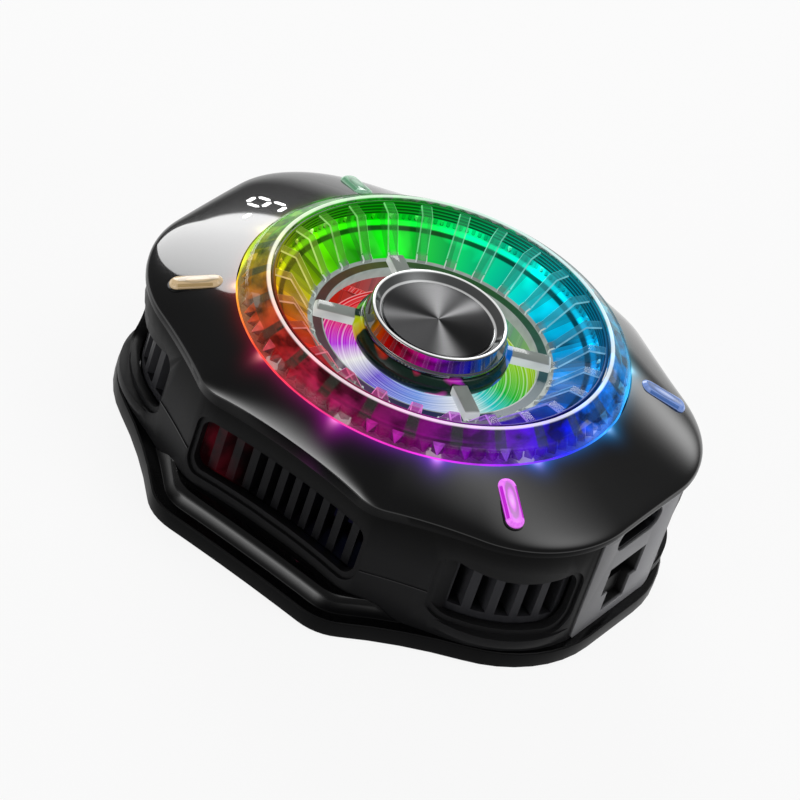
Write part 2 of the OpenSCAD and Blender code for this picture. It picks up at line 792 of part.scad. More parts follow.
// Space above the line where the cover's skirt comes down on the wall
module above_skirt() {
    steps = 10;
    seam = [for (i = [-steps:steps])
        let (y = i / steps * base_hw)
        [y, rim_line([0, y]) - skirt_h - 2 * fit]];
    along_x(-base_hl, base_len)
        polygon(concat(seam, [[base_hw, overall_h], [-base_hw, overall_h]]));
}
module mid_housing() {
    color([0.1, 0.1, 0.11])
    difference() {
        union() {
            difference() {
                slab(cover_plan, wall_setback, flange_h, rim_z - skirt_h - flange_h);
                slab(cover_plan, wall_setback + wall_t, flange_h - eps, deck_z - flange_h + eps);
                slab(cover_plan, wall_setback + wall_t, deck_top, overall_h);
                above_skirt();
            }
            difference() {
                slab(cover_plan, lip_setback, deck_top - eps, lip_top - deck_top + eps);
                slab(cover_plan, lip_setback + lip_t, deck_top - 2 * eps, lip_top);
            }
            translate([0, 0, deck_z])
                cylinder(h = led_board_z - deck_z, r = duct_r + duct_wall);
            translate([tub_x, -tub_w / 2, tub_z])
                cube([wall_inner_x - tub_x + eps, tub_w, deck_top - tub_z]);
            vent_ledges();
        }
        translate([0, 0, deck_z - eps])
            cylinder(h = overall_h, r = duct_r);
        wall_window(bezel_w);
        at_vents()
            difference() {
                vent_shape(bezel_w);
                brow();
            }
        difference() {
            union() {
                wall_window(0);
                at_vents()
                    vent_shape(0);
            }
            slab(cover_plan, wall_setback + bezel_deep, 0, overall_h);
        }
        translate([tub_x + tub_wall, -tub_w / 2 + tub_wall, main_z])
            cube([wall_inner_x - tub_x - tub_wall, tub_w - 2 * tub_wall, overall_h]);
        along_x(tub_x + tub_wall, base_hl)
            usb_slot(gap);
        along_x(plate_x - plate_t - fit, base_hl)
            plate_face(fit);
        seat_block(fit);
        each_corner()
            bar_solid(gap, bar_deep + gap, bar_deep);
    }
}
module plate_face(grow) {
    top = rim_z - skirt_h - fit;
    translate([0, (flange_h + fit + top) / 2])
        rounded(plate_w + 2 * grow, top - flange_h - fit + 2 * grow, 1);
}
// Box behind the end plate that holds the accessory seat, grown on every side
module seat_block(grow) {
    size = [plate_x - plate_t / 2 - seat_back, seat_block_w, seat_h + 2 * seat_wall];
    translate([seat_back - grow, -seat_block_w / 2 - grow, seat_top + seat_wall - size[2] - grow])
        cube(size + 2 * [grow, grow, grow]);
}
module port_plate() {
    skin = 0.5;
    color([0.33, 0.33, 0.35])
    difference() {
        union() {
            along_x(plate_x - plate_t, plate_t)
                plate_face(0);
            seat_block(0);
        }
        along_x(plate_x - plate_t - eps, plate_t + 2 * eps)
            usb_slot(fit);
        along_x(plate_x - seat_deep, base_hl)
            translate([0, seat_top - seat_h / 2])
                square([seat_w, seat_h], center = true);
        along_x(plate_x - plate_t + skin, base_hl)
            translate([0, seat_z + stem_h / 2 + eps])
                square([stem_w, stem_h + 2 * eps], center = true);
    }
}
usb_metal = 0.25;
usb_back = plate_x - usb_len - gap;
module usb_shell() {
    color([0.75, 0.76, 0.78])
    difference() {
        along_x(usb_back, usb_len)
            usb_slot(0);
        along_x(usb_back + usb_metal, usb_len)
            usb_slot(-usb_metal);
    }
}
module usb_tongue() {
    tongue_w = 6.7;
    tongue_h = 0.7;
    tongue_setback = 0.75;
    color([0.05, 0.05, 0.05])
        along_x(usb_back + usb_metal, usb_len - usb_metal - tongue_setback)
            translate([0, usb_z])
                square([tongue_w, tongue_h], center = true);
}
module main_board() {
    color([0.05, 0.3, 0.14])
        translate([main_x, -main_w / 2, main_z])
            cube([main_len, main_w, board_t]);
}
// The control chip and the power coil hang from the underside of the light board
chip_r = (pocket_r + foot_r) / 2;
chip_angle = 7;
module control_chip() {
    chip = [2.6, 3, 0.9];
    color([0.08, 0.08, 0.09])
        rotate(-chip_angle)
            translate([chip_r - chip[0] / 2, -chip[1] / 2, led_board_z - chip[2]])
                cube(chip);
}
module power_coil() {
    coil_r = 1.3;
    coil_h = 1.5;
    color([0.2, 0.2, 0.21])
        rotate(chip_angle)
            translate([chip_r, 0, led_board_z - coil_h])
                cylinder(h = coil_h, r = coil_r);
}
module display_module() {
    display_h = 1.5;
    color([0.07, 0.07, 0.08])
        translate([-display_x, 0, 0])
            centred_box(display_len, display_w, deck_top, display_h);
}

// Light ring, vaned bowl and hub
module led_board() {
    color([0.9, 0.9, 0.88])
        tube(foot_r - fit, duct_r, led_board_z, board_t);
}
module ring_leds() {
    led_r = (bowl_r + foot_r - ring_wall) / 2;
    first = 7;
    color([1, 0.98, 0.9])
        for (i = [0:led_count - 1])
            rotate(first + i * 360 / led_count)
                translate([led_r, 0, 0])
                    centred_box(led_side, led_side, collar_z, led_h);
}
module light_ring() {
    inner_r = bowl_r + 1.5 * fit;
    ledge = 0.4;
    crest_round = 0.35;
    rim_h = 1.5;
    step_r = (foot_r + crest_r) / 2 + 1.5 * ledge;
    step_z = (foot_z + overall_h) / 2 - ledge / 2;
    color([0.6, 0.75, 0.95, 0.6])
        rotate_extrude()
            polygon([
                [foot_r - ring_wall, collar_z], [foot_r, collar_z], [foot_r, foot_z + ledge],
                [step_r + ledge, step_z], [step_r, step_z + ledge / 4],
                [crest_r + crest_round, overall_h - crest_round], [crest_r, overall_h],
                [inner_r, overall_h - crest_round], [inner_r, overall_h - rim_h],
                [crest_r, overall_h - rim_h + ledge / 2], [step_r - ring_wall, step_z - ring_wall],
                [foot_r - ring_wall, foot_z - ledge / 2]
            ]);
}
module bowl_profile() {
    bank_w = 1.1;
    draft = 0.3;
    step_r = bowl_r - bank_w;
    step_z = collar_z + 1.9;
    polygon([
        [collar_r - collar_w, collar_z - bowl_t], [collar_r, collar_z - bowl_t],
        [step_r, step_z - bowl_t], [step_r, collar_z], [bowl_r, collar_z],
        [bowl_r, overall_h - bowl_lip], [bowl_r - bowl_lip, overall_h - bowl_lip],
        [bowl_r - bowl_lip - draft, step_z + draft], [step_r - draft, step_z],
        [collar_r + bowl_lip, collar_z + bowl_lip / 2], [collar_r, collar_z],
        [collar_r - collar_w, collar_z]
    ]);
}
// Reach of a vane's toe over the collar
toe = 0.5;
module vane() {
    hook = 0.9;
    foot = collar_r + bowl_lip / 2;
    back = bowl_r - bowl_lip / 2;
    rotate([90, 0, 0])
        translate([0, 0, -vane_t / 2])
            linear_extrude(vane_t)
                polygon([
                    [foot, collar_z - bowl_lip], [collar_r - toe, collar_z - bowl_lip],
                    [collar_r - toe, collar_z + toe], [foot, collar_z + hook],
                    [vane_kink_r, overall_h - 1.5 * bowl_lip], [back, overall_h - bowl_lip],
                    [back, collar_z + hook]
                ]);
}
module vaned_bowl() {
    color([0.75, 0.85, 0.9, 0.6]) {
        rotate_extrude()
            bowl_profile();
        for (i = [0:vanes - 1])
            rotate(90 + i * 360 / vanes)
                vane();
    }
}
hub_floor = hub_rim_z - dish_depth;
hub_floor_t = 1.6;
cap_z = hub_floor - hub_floor_t;
module hub_spider() {
    belly_z = rotor_top + 1.2;
    rim_h = 1.2;
    bevel = rim_h / 2;
    color([0.85, 0.9, 0.92, 0.7]) {
        rotate_extrude()
            polygon([
                [0, belly_z], [hub_rim_r - bevel, belly_z], [hub_disc_r, collar_z - rim_h / 2],
                [hub_disc_r, collar_z + rim_h / 2], [hub_disc_r - bevel, cap_z], [0, cap_z]
            ]);
        each_corner()
            translate([hub_disc_r - bevel, -spoke_w / 2, collar_z])
                cube([collar_r - toe - fit - hub_disc_r + bevel, spoke_w, spoke_h]);
    }
}
module hub_cap() {
    bell = 0.5;
    lip = 0.3;
    color([0.22, 0.22, 0.24])
        rotate_extrude()
            polygon([
                [0, cap_z], [hub_rim_r + bell, cap_z], [hub_rim_r + bell, cap_z + 2 * lip],
                [hub_rim_r, hub_rim_z - lip / 2], [hub_rim_r - lip / 2, hub_rim_z],
                [hub_rim_r - lip, hub_rim_z], [face_r + fit, hub_floor], [0, hub_floor]
            ]);
}
module hub_face() {
    color([0.6, 0.6, 0.62])
        translate([0, 0, hub_floor])
            cylinder(h = face_t, r = face_r);
}

// Cover and light bars
function rim_line(p) = rim_z - rim_droop * pow(p[1] / cover_hw, 2);
function rim_ring(d, up) =
    let (edge = outline(cover_plan, 0), set_in = outline(cover_plan, d))
    [for (i = [0:len(edge) - 1]) [set_in[i][0], set_in[i][1], rim_line(edge[i]) + up]];
// How much the lip and the edge follow the cover where it is narrow and steep
slope_gain = 0.75;
lean_gain = 0.3;
// Point of the round opening nearest to p on the way to the middle
function opening_point(p) = opening_r * [p[0], p[1]] / norm([p[0], p[1]]);
// Ring at share s of the way from one ring to the round opening at height z
function towards(ring, s, z) =
    [for (p = ring)
        let (q = opening_point(p))
        [p[0] + s * (q[0] - p[0]), p[1] + s * (q[1] - p[1]), p[2] + s * (z - p[2])]];
// Way in and way up at share t of the crown: steep at the rim, then over to the slope at the ring
function crown_step(w, h, t) =
    let (
        steeper = atan2(h, w) - atan2(foot_z - rim_z, cover_hl - opening_r),
        rise = tan(lip_slope + slope_gain * steeper),
        lean = tan(edge_lean + lean_gain * steeper),
        up = (h - w * rise) / (1 - lean * rise),
        corner = up * [lean, 1],
        a = 0.75 * corner,
        b = corner + edge_share * (w - corner[0]) * [1, rise],
        u = 1 - t
    )
    3 * u * u * t * a + 3 * u * t * t * b + t * t * t * [w, h];
function crown_ring(t) =
    [for (p = rim_ring(0, 0))
        let (
            flat = [p[0], p[1]],
            way = opening_point(p) - flat,
            s = crown_step(norm(way), foot_z - p[2], t)
        )
        [p[0] + way[0] / norm(way) * s[0], p[1] + way[1] / norm(way) * s[0], p[2] + s[1]]];
module cover_shell() {
    foot = skirt_h / 3;
    under = rim_ring(cover_wall, gap / 2);
    wrapped(concat(
        [rim_ring(cover_wall, -skirt_h), rim_ring(foot, -skirt_h), rim_ring(0, -skirt_h / 2)],
        [for (t = [0, 0.15, 0.3, 0.45, 0.6, 0.8, 1]) crown_ring(t)],
        [for (s = [1, 0.5, 0]) towards(under, s, foot_z - 1.5 * cover_wall)]
    ));
}
bar_mid = (bar_from + bar_to) / 2;
bar_sink = 0.3;
bar_z = foot_z - (bar_mid - foot_r) * tan(bar_slope) - bar_sink;
module bar_solid(grow, deep, proud) {
    translate([bar_mid, 0, bar_z])
        rotate([0, bar_slope, 0])
            translate([0, 0, -deep])
                linear_extrude(deep + proud)
                    pill((bar_to - bar_from) / cos(bar_slope) + 2 * grow, bar_w + 2 * grow);
}
module top_cover() {
    slot_reach = 2 * cover_wall + bar_deep;
    color([0.03, 0.03, 0.035])
    difference() {
        cover_shell();
        each_corner()
            bar_solid(fit, slot_reach, slot_reach);
    }
}
module light_bar(angle, tint) {
    color(tint)
        rotate(angle)
            bar_solid(0, bar_deep, bar_proud);
}
module light_bar_front_left() {
    light_bar(180 + bar_angle, [0.9, 0.8, 0.6, 0.8]);
}
module light_bar_front_right() {
    light_bar(-bar_angle, [0.95, 0.4, 0.95, 0.8]);
}
module light_bar_rear_left() {
    light_bar(180 - bar_angle, [0.45, 0.8, 0.6, 0.8]);
}
module light_bar_rear_right() {
    light_bar(bar_angle, [0.5, 0.65, 0.95, 0.8]);
}

base_tray();
contact_ring();
magnet_segments();
cold_plate();
cold_ceramic();
cooler_legs();
hot_ceramic();
thermal_pad();
insulation_ring();
temp_sensor();
heatsink();
fan_frame();
fan_screws();
motor_board();
stator_core();
stator_coils();
bearing_sleeve();
fan_shaft();
rotor_magnet();
fan_rotor();
mid_housing();
port_plate();
usb_shell();
usb_tongue();
main_board();
control_chip();
power_coil();
display_module();
led_board();
ring_leds();
light_ring();
vaned_bowl();
hub_spider();
hub_cap();
hub_face();
top_cover();
light_bar_front_left();
light_bar_front_right();
light_bar_rear_left();
light_bar_rear_right();
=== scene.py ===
"""Looks of a phone cooler: a glossy black cover with a rainbow light ring over a fan and its fins."""

import json
import math
from functools import partialmethod

import bmesh
import bpy
from bpy.props import FloatProperty, FloatVectorProperty, IntProperty, PointerProperty
from bpy.types import Operator, Panel, PropertyGroup
from mathutils import Matrix, Vector
from mathutils.bvhtree import BVHTree


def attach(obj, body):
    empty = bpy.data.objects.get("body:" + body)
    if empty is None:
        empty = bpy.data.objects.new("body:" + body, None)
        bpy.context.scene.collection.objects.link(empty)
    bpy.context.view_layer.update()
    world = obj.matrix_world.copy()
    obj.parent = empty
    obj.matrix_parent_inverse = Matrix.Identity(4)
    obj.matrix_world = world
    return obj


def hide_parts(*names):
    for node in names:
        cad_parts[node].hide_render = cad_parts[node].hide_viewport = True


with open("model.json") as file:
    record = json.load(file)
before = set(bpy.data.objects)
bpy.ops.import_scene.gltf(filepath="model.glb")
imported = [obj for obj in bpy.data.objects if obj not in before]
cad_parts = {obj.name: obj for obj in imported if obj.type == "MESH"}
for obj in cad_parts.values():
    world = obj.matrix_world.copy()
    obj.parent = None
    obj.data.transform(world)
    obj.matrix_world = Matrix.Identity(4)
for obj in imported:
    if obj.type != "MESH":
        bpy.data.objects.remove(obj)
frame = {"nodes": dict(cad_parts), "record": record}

bl_info = {
    "name": "Phone Cooler",
    "version": (1, 0, 0),
    "blender": (4, 5, 0),
    "location": "3D View > Sidebar > Cooler",
    "description": "Dresses the phone cooler's solids in finished pieces and sets up its studio",
    "category": "Object",
}

MM = 0.001
TAU = 2 * math.pi
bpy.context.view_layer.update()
SLOTS = {part["node"]: part["material_slot"] for part in frame["record"]["subparts"]}


def tint(code):
    """Linear colour of a hexadecimal screen colour."""
    parts = [int(code[i:i + 2], 16) / 255 for i in (0, 2, 4)]
    return [c / 12.92 if c <= 0.04045 else ((c + 0.055) / 1.055) ** 2.4 for c in parts]


# Sizes and colours that a user would change

def length(label, text, millimetres):
    return FloatProperty(name=label, description=text, default=millimetres * MM, unit="LENGTH", precision=5)


def colour(label, text, code):
    return FloatVectorProperty(name=label, description=text, default=tint(code), subtype="COLOR", size=3,
                               min=0.0, max=1.0)


class CoolerSizes(PropertyGroup):
    """Sizes of the dressed pieces."""

    rim_height: length("Rim height", "Height of the cover's widest line at its ends", 19.1)
    rim_droop: length("Rim droop", "Further drop of that line at the front and back", 1.5)
    foot_height: length("Foot height", "Height of the cover at the foot of the light ring", 23.0)
    opening_radius: length("Opening radius", "Radius of the round opening in the cover", 24.27)
    lip_slope: FloatProperty(name="Lip slope", description="Slope of the cover at the light ring",
                             default=math.radians(18), subtype="ANGLE")
    edge_lean: FloatProperty(name="Edge lean", description="Lean of the cover's outer edge from upright",
                             default=math.radians(6), subtype="ANGLE")
    vane_count: IntProperty(name="Vanes", description="Vanes round the bowl", default=26, min=8)
    vane_thickness: length("Vane thickness", "Thickness of a vane of the bowl", 1.4)
    tooth_count: IntProperty(name="Teeth", description="Prism teeth round the bowl", default=156, min=40)
    prism_count: IntProperty(name="Prisms", description="Prisms in the ring's wall", default=88, min=30)
    led_count: IntProperty(name="Lights", description="Lights under the ring", default=12, min=4)
    bar_angle: FloatProperty(name="Bar angle", description="Angle of the light bars from the long axis",
                             default=math.radians(34.2), subtype="ANGLE")
    edge_round: length("Edge rounding", "Rounding of the moulded edges", 0.18)


class CoolerColours(PropertyGroup):
    """Colours of the dressed pieces."""

    ring_hue: FloatProperty(name="Ring hue", description="Hue of the light ring at the socket end",
                            default=0.6, min=0.0, max=1.0)
    cover: colour("Cover", "Gloss of the cover", "050506")
    housing: colour("Housing", "Satin of the moulded housing", "1a1a1b")
    base: colour("Base", "Gloss of the base", "060607")
    plate: colour("End plate", "Plate round the socket", "88888b")
    fins: colour("Fins", "Anodised fins", "1b1b1d")
    bar_front_left: colour("Front left bar", "Amber light bar", "e8c48a")
    bar_front_right: colour("Front right bar", "Magenta light bar", "dc28ee")
    bar_rear_left: colour("Rear left bar", "Green light bar", "7fc79a")
    bar_rear_right: colour("Rear right bar", "Blue light bar", "5f8fe6")
    digits: colour("Digits", "Figures of the display", "ffffff")


def sizes():
    return bpy.context.scene.cooler_sizes


def colours():
    return bpy.context.scene.cooler_colours


# Finishes

# Hue of the light ring at shares of a turn from the socket end, against its hue there
RING_HUES = ((0.0, 1.0), (0.2, 0.92), (0.33, 0.81), (0.5, 0.66), (0.63, 0.47), (0.72, 0.37), (0.84, 0.24),
             (0.95, 0.1), (1.0, 0.0))
# Colours of the light in the fan at shares of a turn
FAN_HUES = ((0.0, "14c83c"), (0.1, "a6e010"), (0.17, "b4d820"), (0.3, "20a0a8"), (0.42, "d02818"),
            (0.55, "f0182c"), (0.61, "f02890"), (0.66, "c828f0"), (0.7, "ffffff"), (0.75, "7454e0"),
            (0.83, "78a4f8"), (0.91, "ffffff"), (0.955, "18d8d8"), (1.0, "14c83c"))
# Clear plastic with the light behind it
PALE = (0.62, 0.7, 0.66)
# Place of the first light under the ring, as a share of a turn
FIRST_LIGHT = 7 / 360
# Middle of a light bar: distance from the axis and height
BAR_REACH, BAR_HEIGHT = 28.6, 21.05
BAR_TILT = math.radians(20)
# Plain plastics: screen colour, roughness, grain and specular level
MOULDED = {
    "contact_rubber": ("26262a", 0.8, 0.4, 0.2),
    "ceramic_white": ("efede4", 0.55, 0.2),
    "pad_grey": ("8b97ab", 0.85, 0.5),
    "foam_black": ("2b2b2e", 0.95, 0.9),
    "chip_black": ("141416", 0.5),
    "magnet_dark": ("3c3c40", 0.6, 0.4),
    "coil_ferrite": ("2e2e31", 0.7, 0.4),
    "display_black": ("101012", 0.3),
}
# Plain metals: screen colour, roughness, and the stretch, fineness and depth of their marks
METALS = {
    "magnet_nickel": ("c9cbd2", 0.22),
    "cold_aluminium": ("d5d8dc", 0.3, (1, 0.02, 1), 1800, 0.2),
    "cooler_alloy": ("5a5c66", 0.5),
    "screw_steel": ("b9bbc0", 0.3),
    "stator_iron": ("8c8c90", 0.45, (0.05, 0.05, 1), 3000),
    "coil_copper": ("b8692f", 0.35, (0.05, 0.05, 1), 2600, 0.5),
    "sleeve_brass": ("c09a4c", 0.3),
    "shaft_steel": ("d0d0d4", 0.18, (1, 1, 0.05)),
    "socket_steel": ("2c2d30", 0.35, (0.05, 1, 1)),
}
FINISHES = {}


def dimmed(shade, share):
    return [c * share for c in shade]


class Wire:
    """A shader socket; sums with it add Math nodes."""

    def __init__(self, graph, socket):
        self.graph = graph
        self.socket = socket

    def math(self, operation, other=0.0):
        return self.graph.node("Math", {"operation": operation}, {0: self, 1: other})

    __add__ = __radd__ = partialmethod(math, "ADD")
    __sub__ = partialmethod(math, "SUBTRACT")
    __mul__ = __rmul__ = partialmethod(math, "MULTIPLY")
    __truediv__ = partialmethod(math, "DIVIDE")
    __pow__ = partialmethod(math, "POWER")
    __lt__ = partialmethod(math, "LESS_THAN")
    most = partialmethod(math, "MAXIMUM")

    def __rsub__(self, other):
        return self.graph.node("Math", {"operation": "SUBTRACT"}, {0: other, 1: self})

    def between(self, low, high):
        """The value as a share of the way from low to high, kept within 0 and 1."""
        return self.graph.node("MapRange", {"clamp": True},
                               {"Value": self, "From Min": low, "From Max": high})

    def band(self, start, full, fade, end):
        """1 from full to fade, 0 before start and after end."""
        return self.between(start, full) - self.between(fade, end)


class Graph:
    """The nodes of a material or of the world."""

    def __init__(self, owner):
        owner.use_nodes = True
        self.owner = owner
        self.tree = owner.node_tree

    def plug(self, socket, value):
        """Links a wire to a socket, or sets the socket's value."""
        if isinstance(value, Wire):
            self.tree.links.new(value.socket, socket)
        elif socket.type == "RGBA":
            socket.default_value = (*value[:3], 1.0)
        elif socket.type == "VECTOR":
            socket.default_value = value[:3]
        else:
            socket.default_value = value

    def node(self, kind, settings=(), sockets=(), out=0):
        """Adds a node: its settings first, then the values or links of its sockets."""
        made = self.tree.nodes.new("ShaderNode" + kind)
        for key, value in dict(settings).items():
            setattr(made, key, value)
        for key, value in dict(sockets).items():
            self.plug(made.inputs[key], value)
        return Wire(self, made.outputs[out])

    def rays(self):
        """1 for rays that see the background directly, in a gloss, and through clear plastic."""
        path = self.node("LightPath").socket.node.outputs
        return [Wire(self, path[f"Is {kind} Ray"]) for kind in ("Camera", "Glossy", "Transmission")]


class Finish(Graph):
    """A procedural material: one shader and the nodes that feed it. Its lengths are in millimetres."""

    def __init__(self, name, constants):
        super().__init__(bpy.data.materials.new(name))
        self.shader = self.tree.nodes["Principled BSDF"]
        self.feed(constants)
        FINISHES[name] = self.owner

    def feed(self, sockets):
        """Sets or links sockets of the shader; an emission colour glows at a strength of 1."""
        for key, value in sockets.items():
            self.plug(self.shader.inputs[key], value)
        if "Emission Color" in sockets:
            self.plug(self.shader.inputs["Emission Strength"], 1.0)

    def place(self):
        """The three Object coordinates."""
        where = self.scaled(self.node("TexCoord", out="Object"), 1 / MM)
        split = self.node("SeparateXYZ", {}, {0: where}).socket.node
        return [Wire(self, socket) for socket in split.outputs]

    def noise(self, scale, detail=2.0, stretch=(1, 1, 1)):
        """Noise of so many waves a metre, from 0 to 1."""
        where = self.node("Mapping", {}, {"Vector": self.node("TexCoord", out="Object"), "Scale": stretch})
        return self.node("TexNoise", {}, {"Vector": where, "Scale": scale, "Detail": detail})

    def ripples(self, length, waves):
        """Noise along one length, of so many waves a millimetre."""
        return self.node("TexNoise", {"noise_dimensions": "1D"},
                         {"W": length * waves, "Scale": 1.0, "Detail": 3.0})

    def own(self, steps):
        """A random value for each whole step."""
        return self.node("TexWhiteNoise", {"noise_dimensions": "1D"}, {"W": steps.math("FLOOR")})

    def blend(self, share, first, second):
        return self.node("Mix", {"data_type": "RGBA"}, {0: share, 6: first, 7: second}, 2)

    def scaled(self, shade, share):
        return self.node("VectorMath", {"operation": "SCALE"}, {0: shade, "Scale": share})

    def added(self, first, second):
        return self.node("VectorMath", {"operation": "ADD"}, {0: first, 1: second})

    def bump(self, height, strength, distance):
        return self.node("Bump", {}, {"Height": height, "Strength": strength, "Distance": distance * MM})

    def ramp(self, place, stops):
        """The colour at a place along a ramp."""
        made = self.node("ValToRGB", {}, {0: place})
        elements = made.socket.node.color_ramp.elements
        while len(elements) < len(stops):
            elements.new(1.0)
        for element, (position, shade) in zip(elements, stops):
            element.position = position
            element.color = (*shade, 1.0)
        return made

    def turn(self, aside=(0, 0)):
        """Share of a turn round the axis, or round a line aside of it; distance from the axis; height."""
        x, y, z = self.place()
        angle = (y - aside[1]).math("ARCTAN2", x - aside[0]) / TAU
        return angle, (x * x + y * y) ** 0.5, z

    def facing(self, angle, middle):
        """1 at a share of a turn, 0 on the opposite side."""
        return ((angle - middle) * TAU).math("COSINE") * 0.5 + 0.5

    def lobes(self, angle):
        """1 over each light under the ring, 0 half way between."""
        count = sizes().led_count
        return self.facing(angle * count, FIRST_LIGHT * count)

    def rainbow(self, angle, saturation, value):
        """Colour of the light ring at an angle."""
        stops = [(place, (hue / 2,) * 3) for place, hue in RING_HUES]
        drift = self.ramp((angle + 1.0).math("FRACT"), stops)
        hue = (drift * 2 + colours().ring_hue).math("FRACT")
        pure = self.node("CombineColor", {"mode": "HSV"}, {0: hue, 1: saturation, 2: 1.0})
        return self.scaled(self.node("Gamma", {}, {"Color": pure, "Gamma": 2.2}), value)

    def streaks(self, angle, length):
        """Colours and strength of the streaks of light in the fan."""
        stops = [(place, tint(code)) for place, code in FAN_HUES]
        return self.ramp((angle + 1.0).math("FRACT"), stops), self.ripples(length, 4.2)

    def grain(self, roughness, spread, depth):
        """Gives the surface a fine spark-eroded grain."""
        fine = self.noise(4200, 3.0)
        self.feed({"Roughness": roughness + (fine - 0.5) * spread, "Normal": self.bump(fine, depth, 0.02)})

    def facet(self, name):
        """A value that the piece keeps for each of its faces."""
        return self.node("Attribute", {"attribute_name": name}, out="Fac")


def moulded(name, shade, roughness, grain=0.12, specular=0.3):
    """Moulded plastic with a fine spark-eroded grain and slightly uneven colour."""
    finish = Finish(name, {"Specular IOR Level": specular})
    finish.grain(roughness, 0.18, grain)
    finish.feed({"Base Color": finish.blend(finish.noise(140), dimmed(shade, 0.75), shade)})


def metal(name, shade, roughness, stretch=(1, 1, 1), scale=1500, strength=0.1):
    """Metal with drawn marks along one way and a little stain."""
    finish = Finish(name, {"Metallic": 1.0})
    marks = finish.noise(scale, 4.0, stretch)
    finish.feed({
        "Base Color": finish.blend(finish.noise(220), dimmed(shade, 0.8), shade),
        "Roughness": roughness + (marks - 0.5) * 0.2,
        "Normal": finish.bump(marks, strength, 0.01),
    })


def circuit(name, shade, copper):
    """Circuit board: lacquer with faint tracks under it."""
    finish = Finish(name, {"Specular IOR Level": 0.5, "Coat Weight": 0.3})
    tracks = finish.node("TexBrick", {"offset": 0.5}, {
        "Vector": finish.node("TexCoord", out="Object"), "Scale": 500.0, "Mortar Size": 0.08,
        "Color1": shade, "Color2": shade, "Mortar": copper})
    weave = finish.noise(3000)
    finish.feed({
        "Base Color": tracks,
        "Roughness": 0.35 + (weave - 0.5) * 0.2,
        "Normal": finish.bump(weave, 0.08, 0.02),
    })


def piano_black():
    """Deep gloss of the cover, dull on its skirt, with the light ring's glow spilling on to it."""
    finish = Finish("cover_gloss", {"Specular IOR Level": 0.05, "Coat Roughness": 0.045})
    angle, radius, _ = finish.turn()
    lobes = finish.lobes(angle)
    reach = 1 - radius.between(24.2, 30.0)
    halo = (reach ** 9 * 0.12 + reach ** 6 * lobes ** 6 * 0.3) * (0.8 + finish.facing(angle, -0.09) ** 4)
    spark = reach ** 14 * lobes ** 40 * 0.9
    haze = finish.noise(90)
    shade = list(colours().cover)
    finish.feed({
        "Base Color": finish.blend(haze, dimmed(shade, 0.8), shade),
        "Roughness": 0.2 + (haze - 0.5) * 0.05,
        "Coat Weight": finish.facet("rise").between(0.1, 0.2),
        "Emission Color": finish.added(finish.rainbow(angle + 0.07, 0.92, halo),
                                       finish.rainbow(angle, 0.4, spark)),
    })


def satin_wall():
    """Satin black of the housing, darker in the shade under the cover."""
    finish = Finish("housing_black", {"Specular IOR Level": 0.07})
    finish.grain(0.42, 0.15, 0.05)
    z = finish.place()[2]
    shade = list(colours().housing)
    finish.feed({"Base Color": finish.blend(z.between(11.0, 16.0), shade, dimmed(shade, 0.15))})


def gloss_base():
    """Gloss black of the base, dull on the upright side of its flange."""
    finish = Finish("base_black", {"Specular IOR Level": 0.06, "Coat Roughness": 0.1})
    z = finish.place()[2]
    haze = finish.noise(140)
    shade = list(colours().base)
    finish.feed({
        "Base Color": finish.blend(haze, dimmed(shade, 0.7), shade),
        "Roughness": 0.3 + haze * 0.1,
        "Coat Weight": z.between(2.7, 4.1) ** 1.5 + z.band(2.2, 2.3, 2.42, 2.5) * 0.6,
    })


def lit_ring():
    """Clear wall of the light ring: see-through below, darker and tinted above, white along its crest."""
    finish = Finish("ring_clear", {"IOR": 1.45, "Specular IOR Level": 0.35})
    angle, radius, z = finish.turn()
    upper = z.between(24.35, 24.5)
    # Painted highlight: a white glow along the crest
    crest = z.between(25.9, 26.02)
    foot = (1 - z.between(23.08, 23.18)) * radius.between(23.8, 23.9)
    right, left = finish.facing(angle, 0.01), finish.facing(angle, 0.69)
    cloud = finish.noise(300, 3.0, (1, 1, 2)).between(0.38, 0.62)
    fold = (angle * sizes().vane_count).math("PINGPONG", 0.5) * 2
    behind = fold.between(0.7, 0.78) * upper
    level = (0.02 + cloud * (right ** 8 * 1.3 + (1 - right) ** 4 * 0.25)) * (1 - behind * 0.85)
    glow = finish.added(finish.rainbow(angle, 0.98, level),
                        finish.rainbow(angle, 0.75, foot * 0.9 + cloud * left ** 10 * (1 - behind) * 0.5))
    finish.feed({
        "Base Color": finish.blend(behind, finish.rainbow(angle, 0.8, 0.015), (0.04, 0.06, 0.045)),
        "Roughness": 0.04 + cloud * 0.03,
        "Emission Color": finish.added(glow, finish.rainbow(angle, 0.1, crest * 0.85)),
        "Alpha": 0.34 + upper * 0.36 + foot * 0.6 + crest * 0.3,
    })


def lit_prisms(name, count, low, high):
    """Prisms that glow in the light ring's colours, each with a bright wedge of its own strength."""
    finish = Finish(name, {"Specular IOR Level": 0.3})
    angle, _, z = finish.turn()
    steps = angle * count + 0.5
    fold = 1 - steps.math("PINGPONG", 0.5) * 2
    own = finish.own(steps)
    wedge = fold < z.between(low, high)
    level = (0.1 + wedge * (0.12 + own ** 3 * 1.3)) * (0.4 + finish.facet("glint"))
    finish.feed({
        "Base Color": finish.rainbow(angle, 0.95, 0.03),
        "Roughness": 0.08 + own * 0.1,
        "Emission Color": finish.rainbow(angle + (own - 0.5) * 0.05, 0.97 - own ** 6 * 0.6, level),
        "Alpha": 0.3 + own * 0.6,
    })


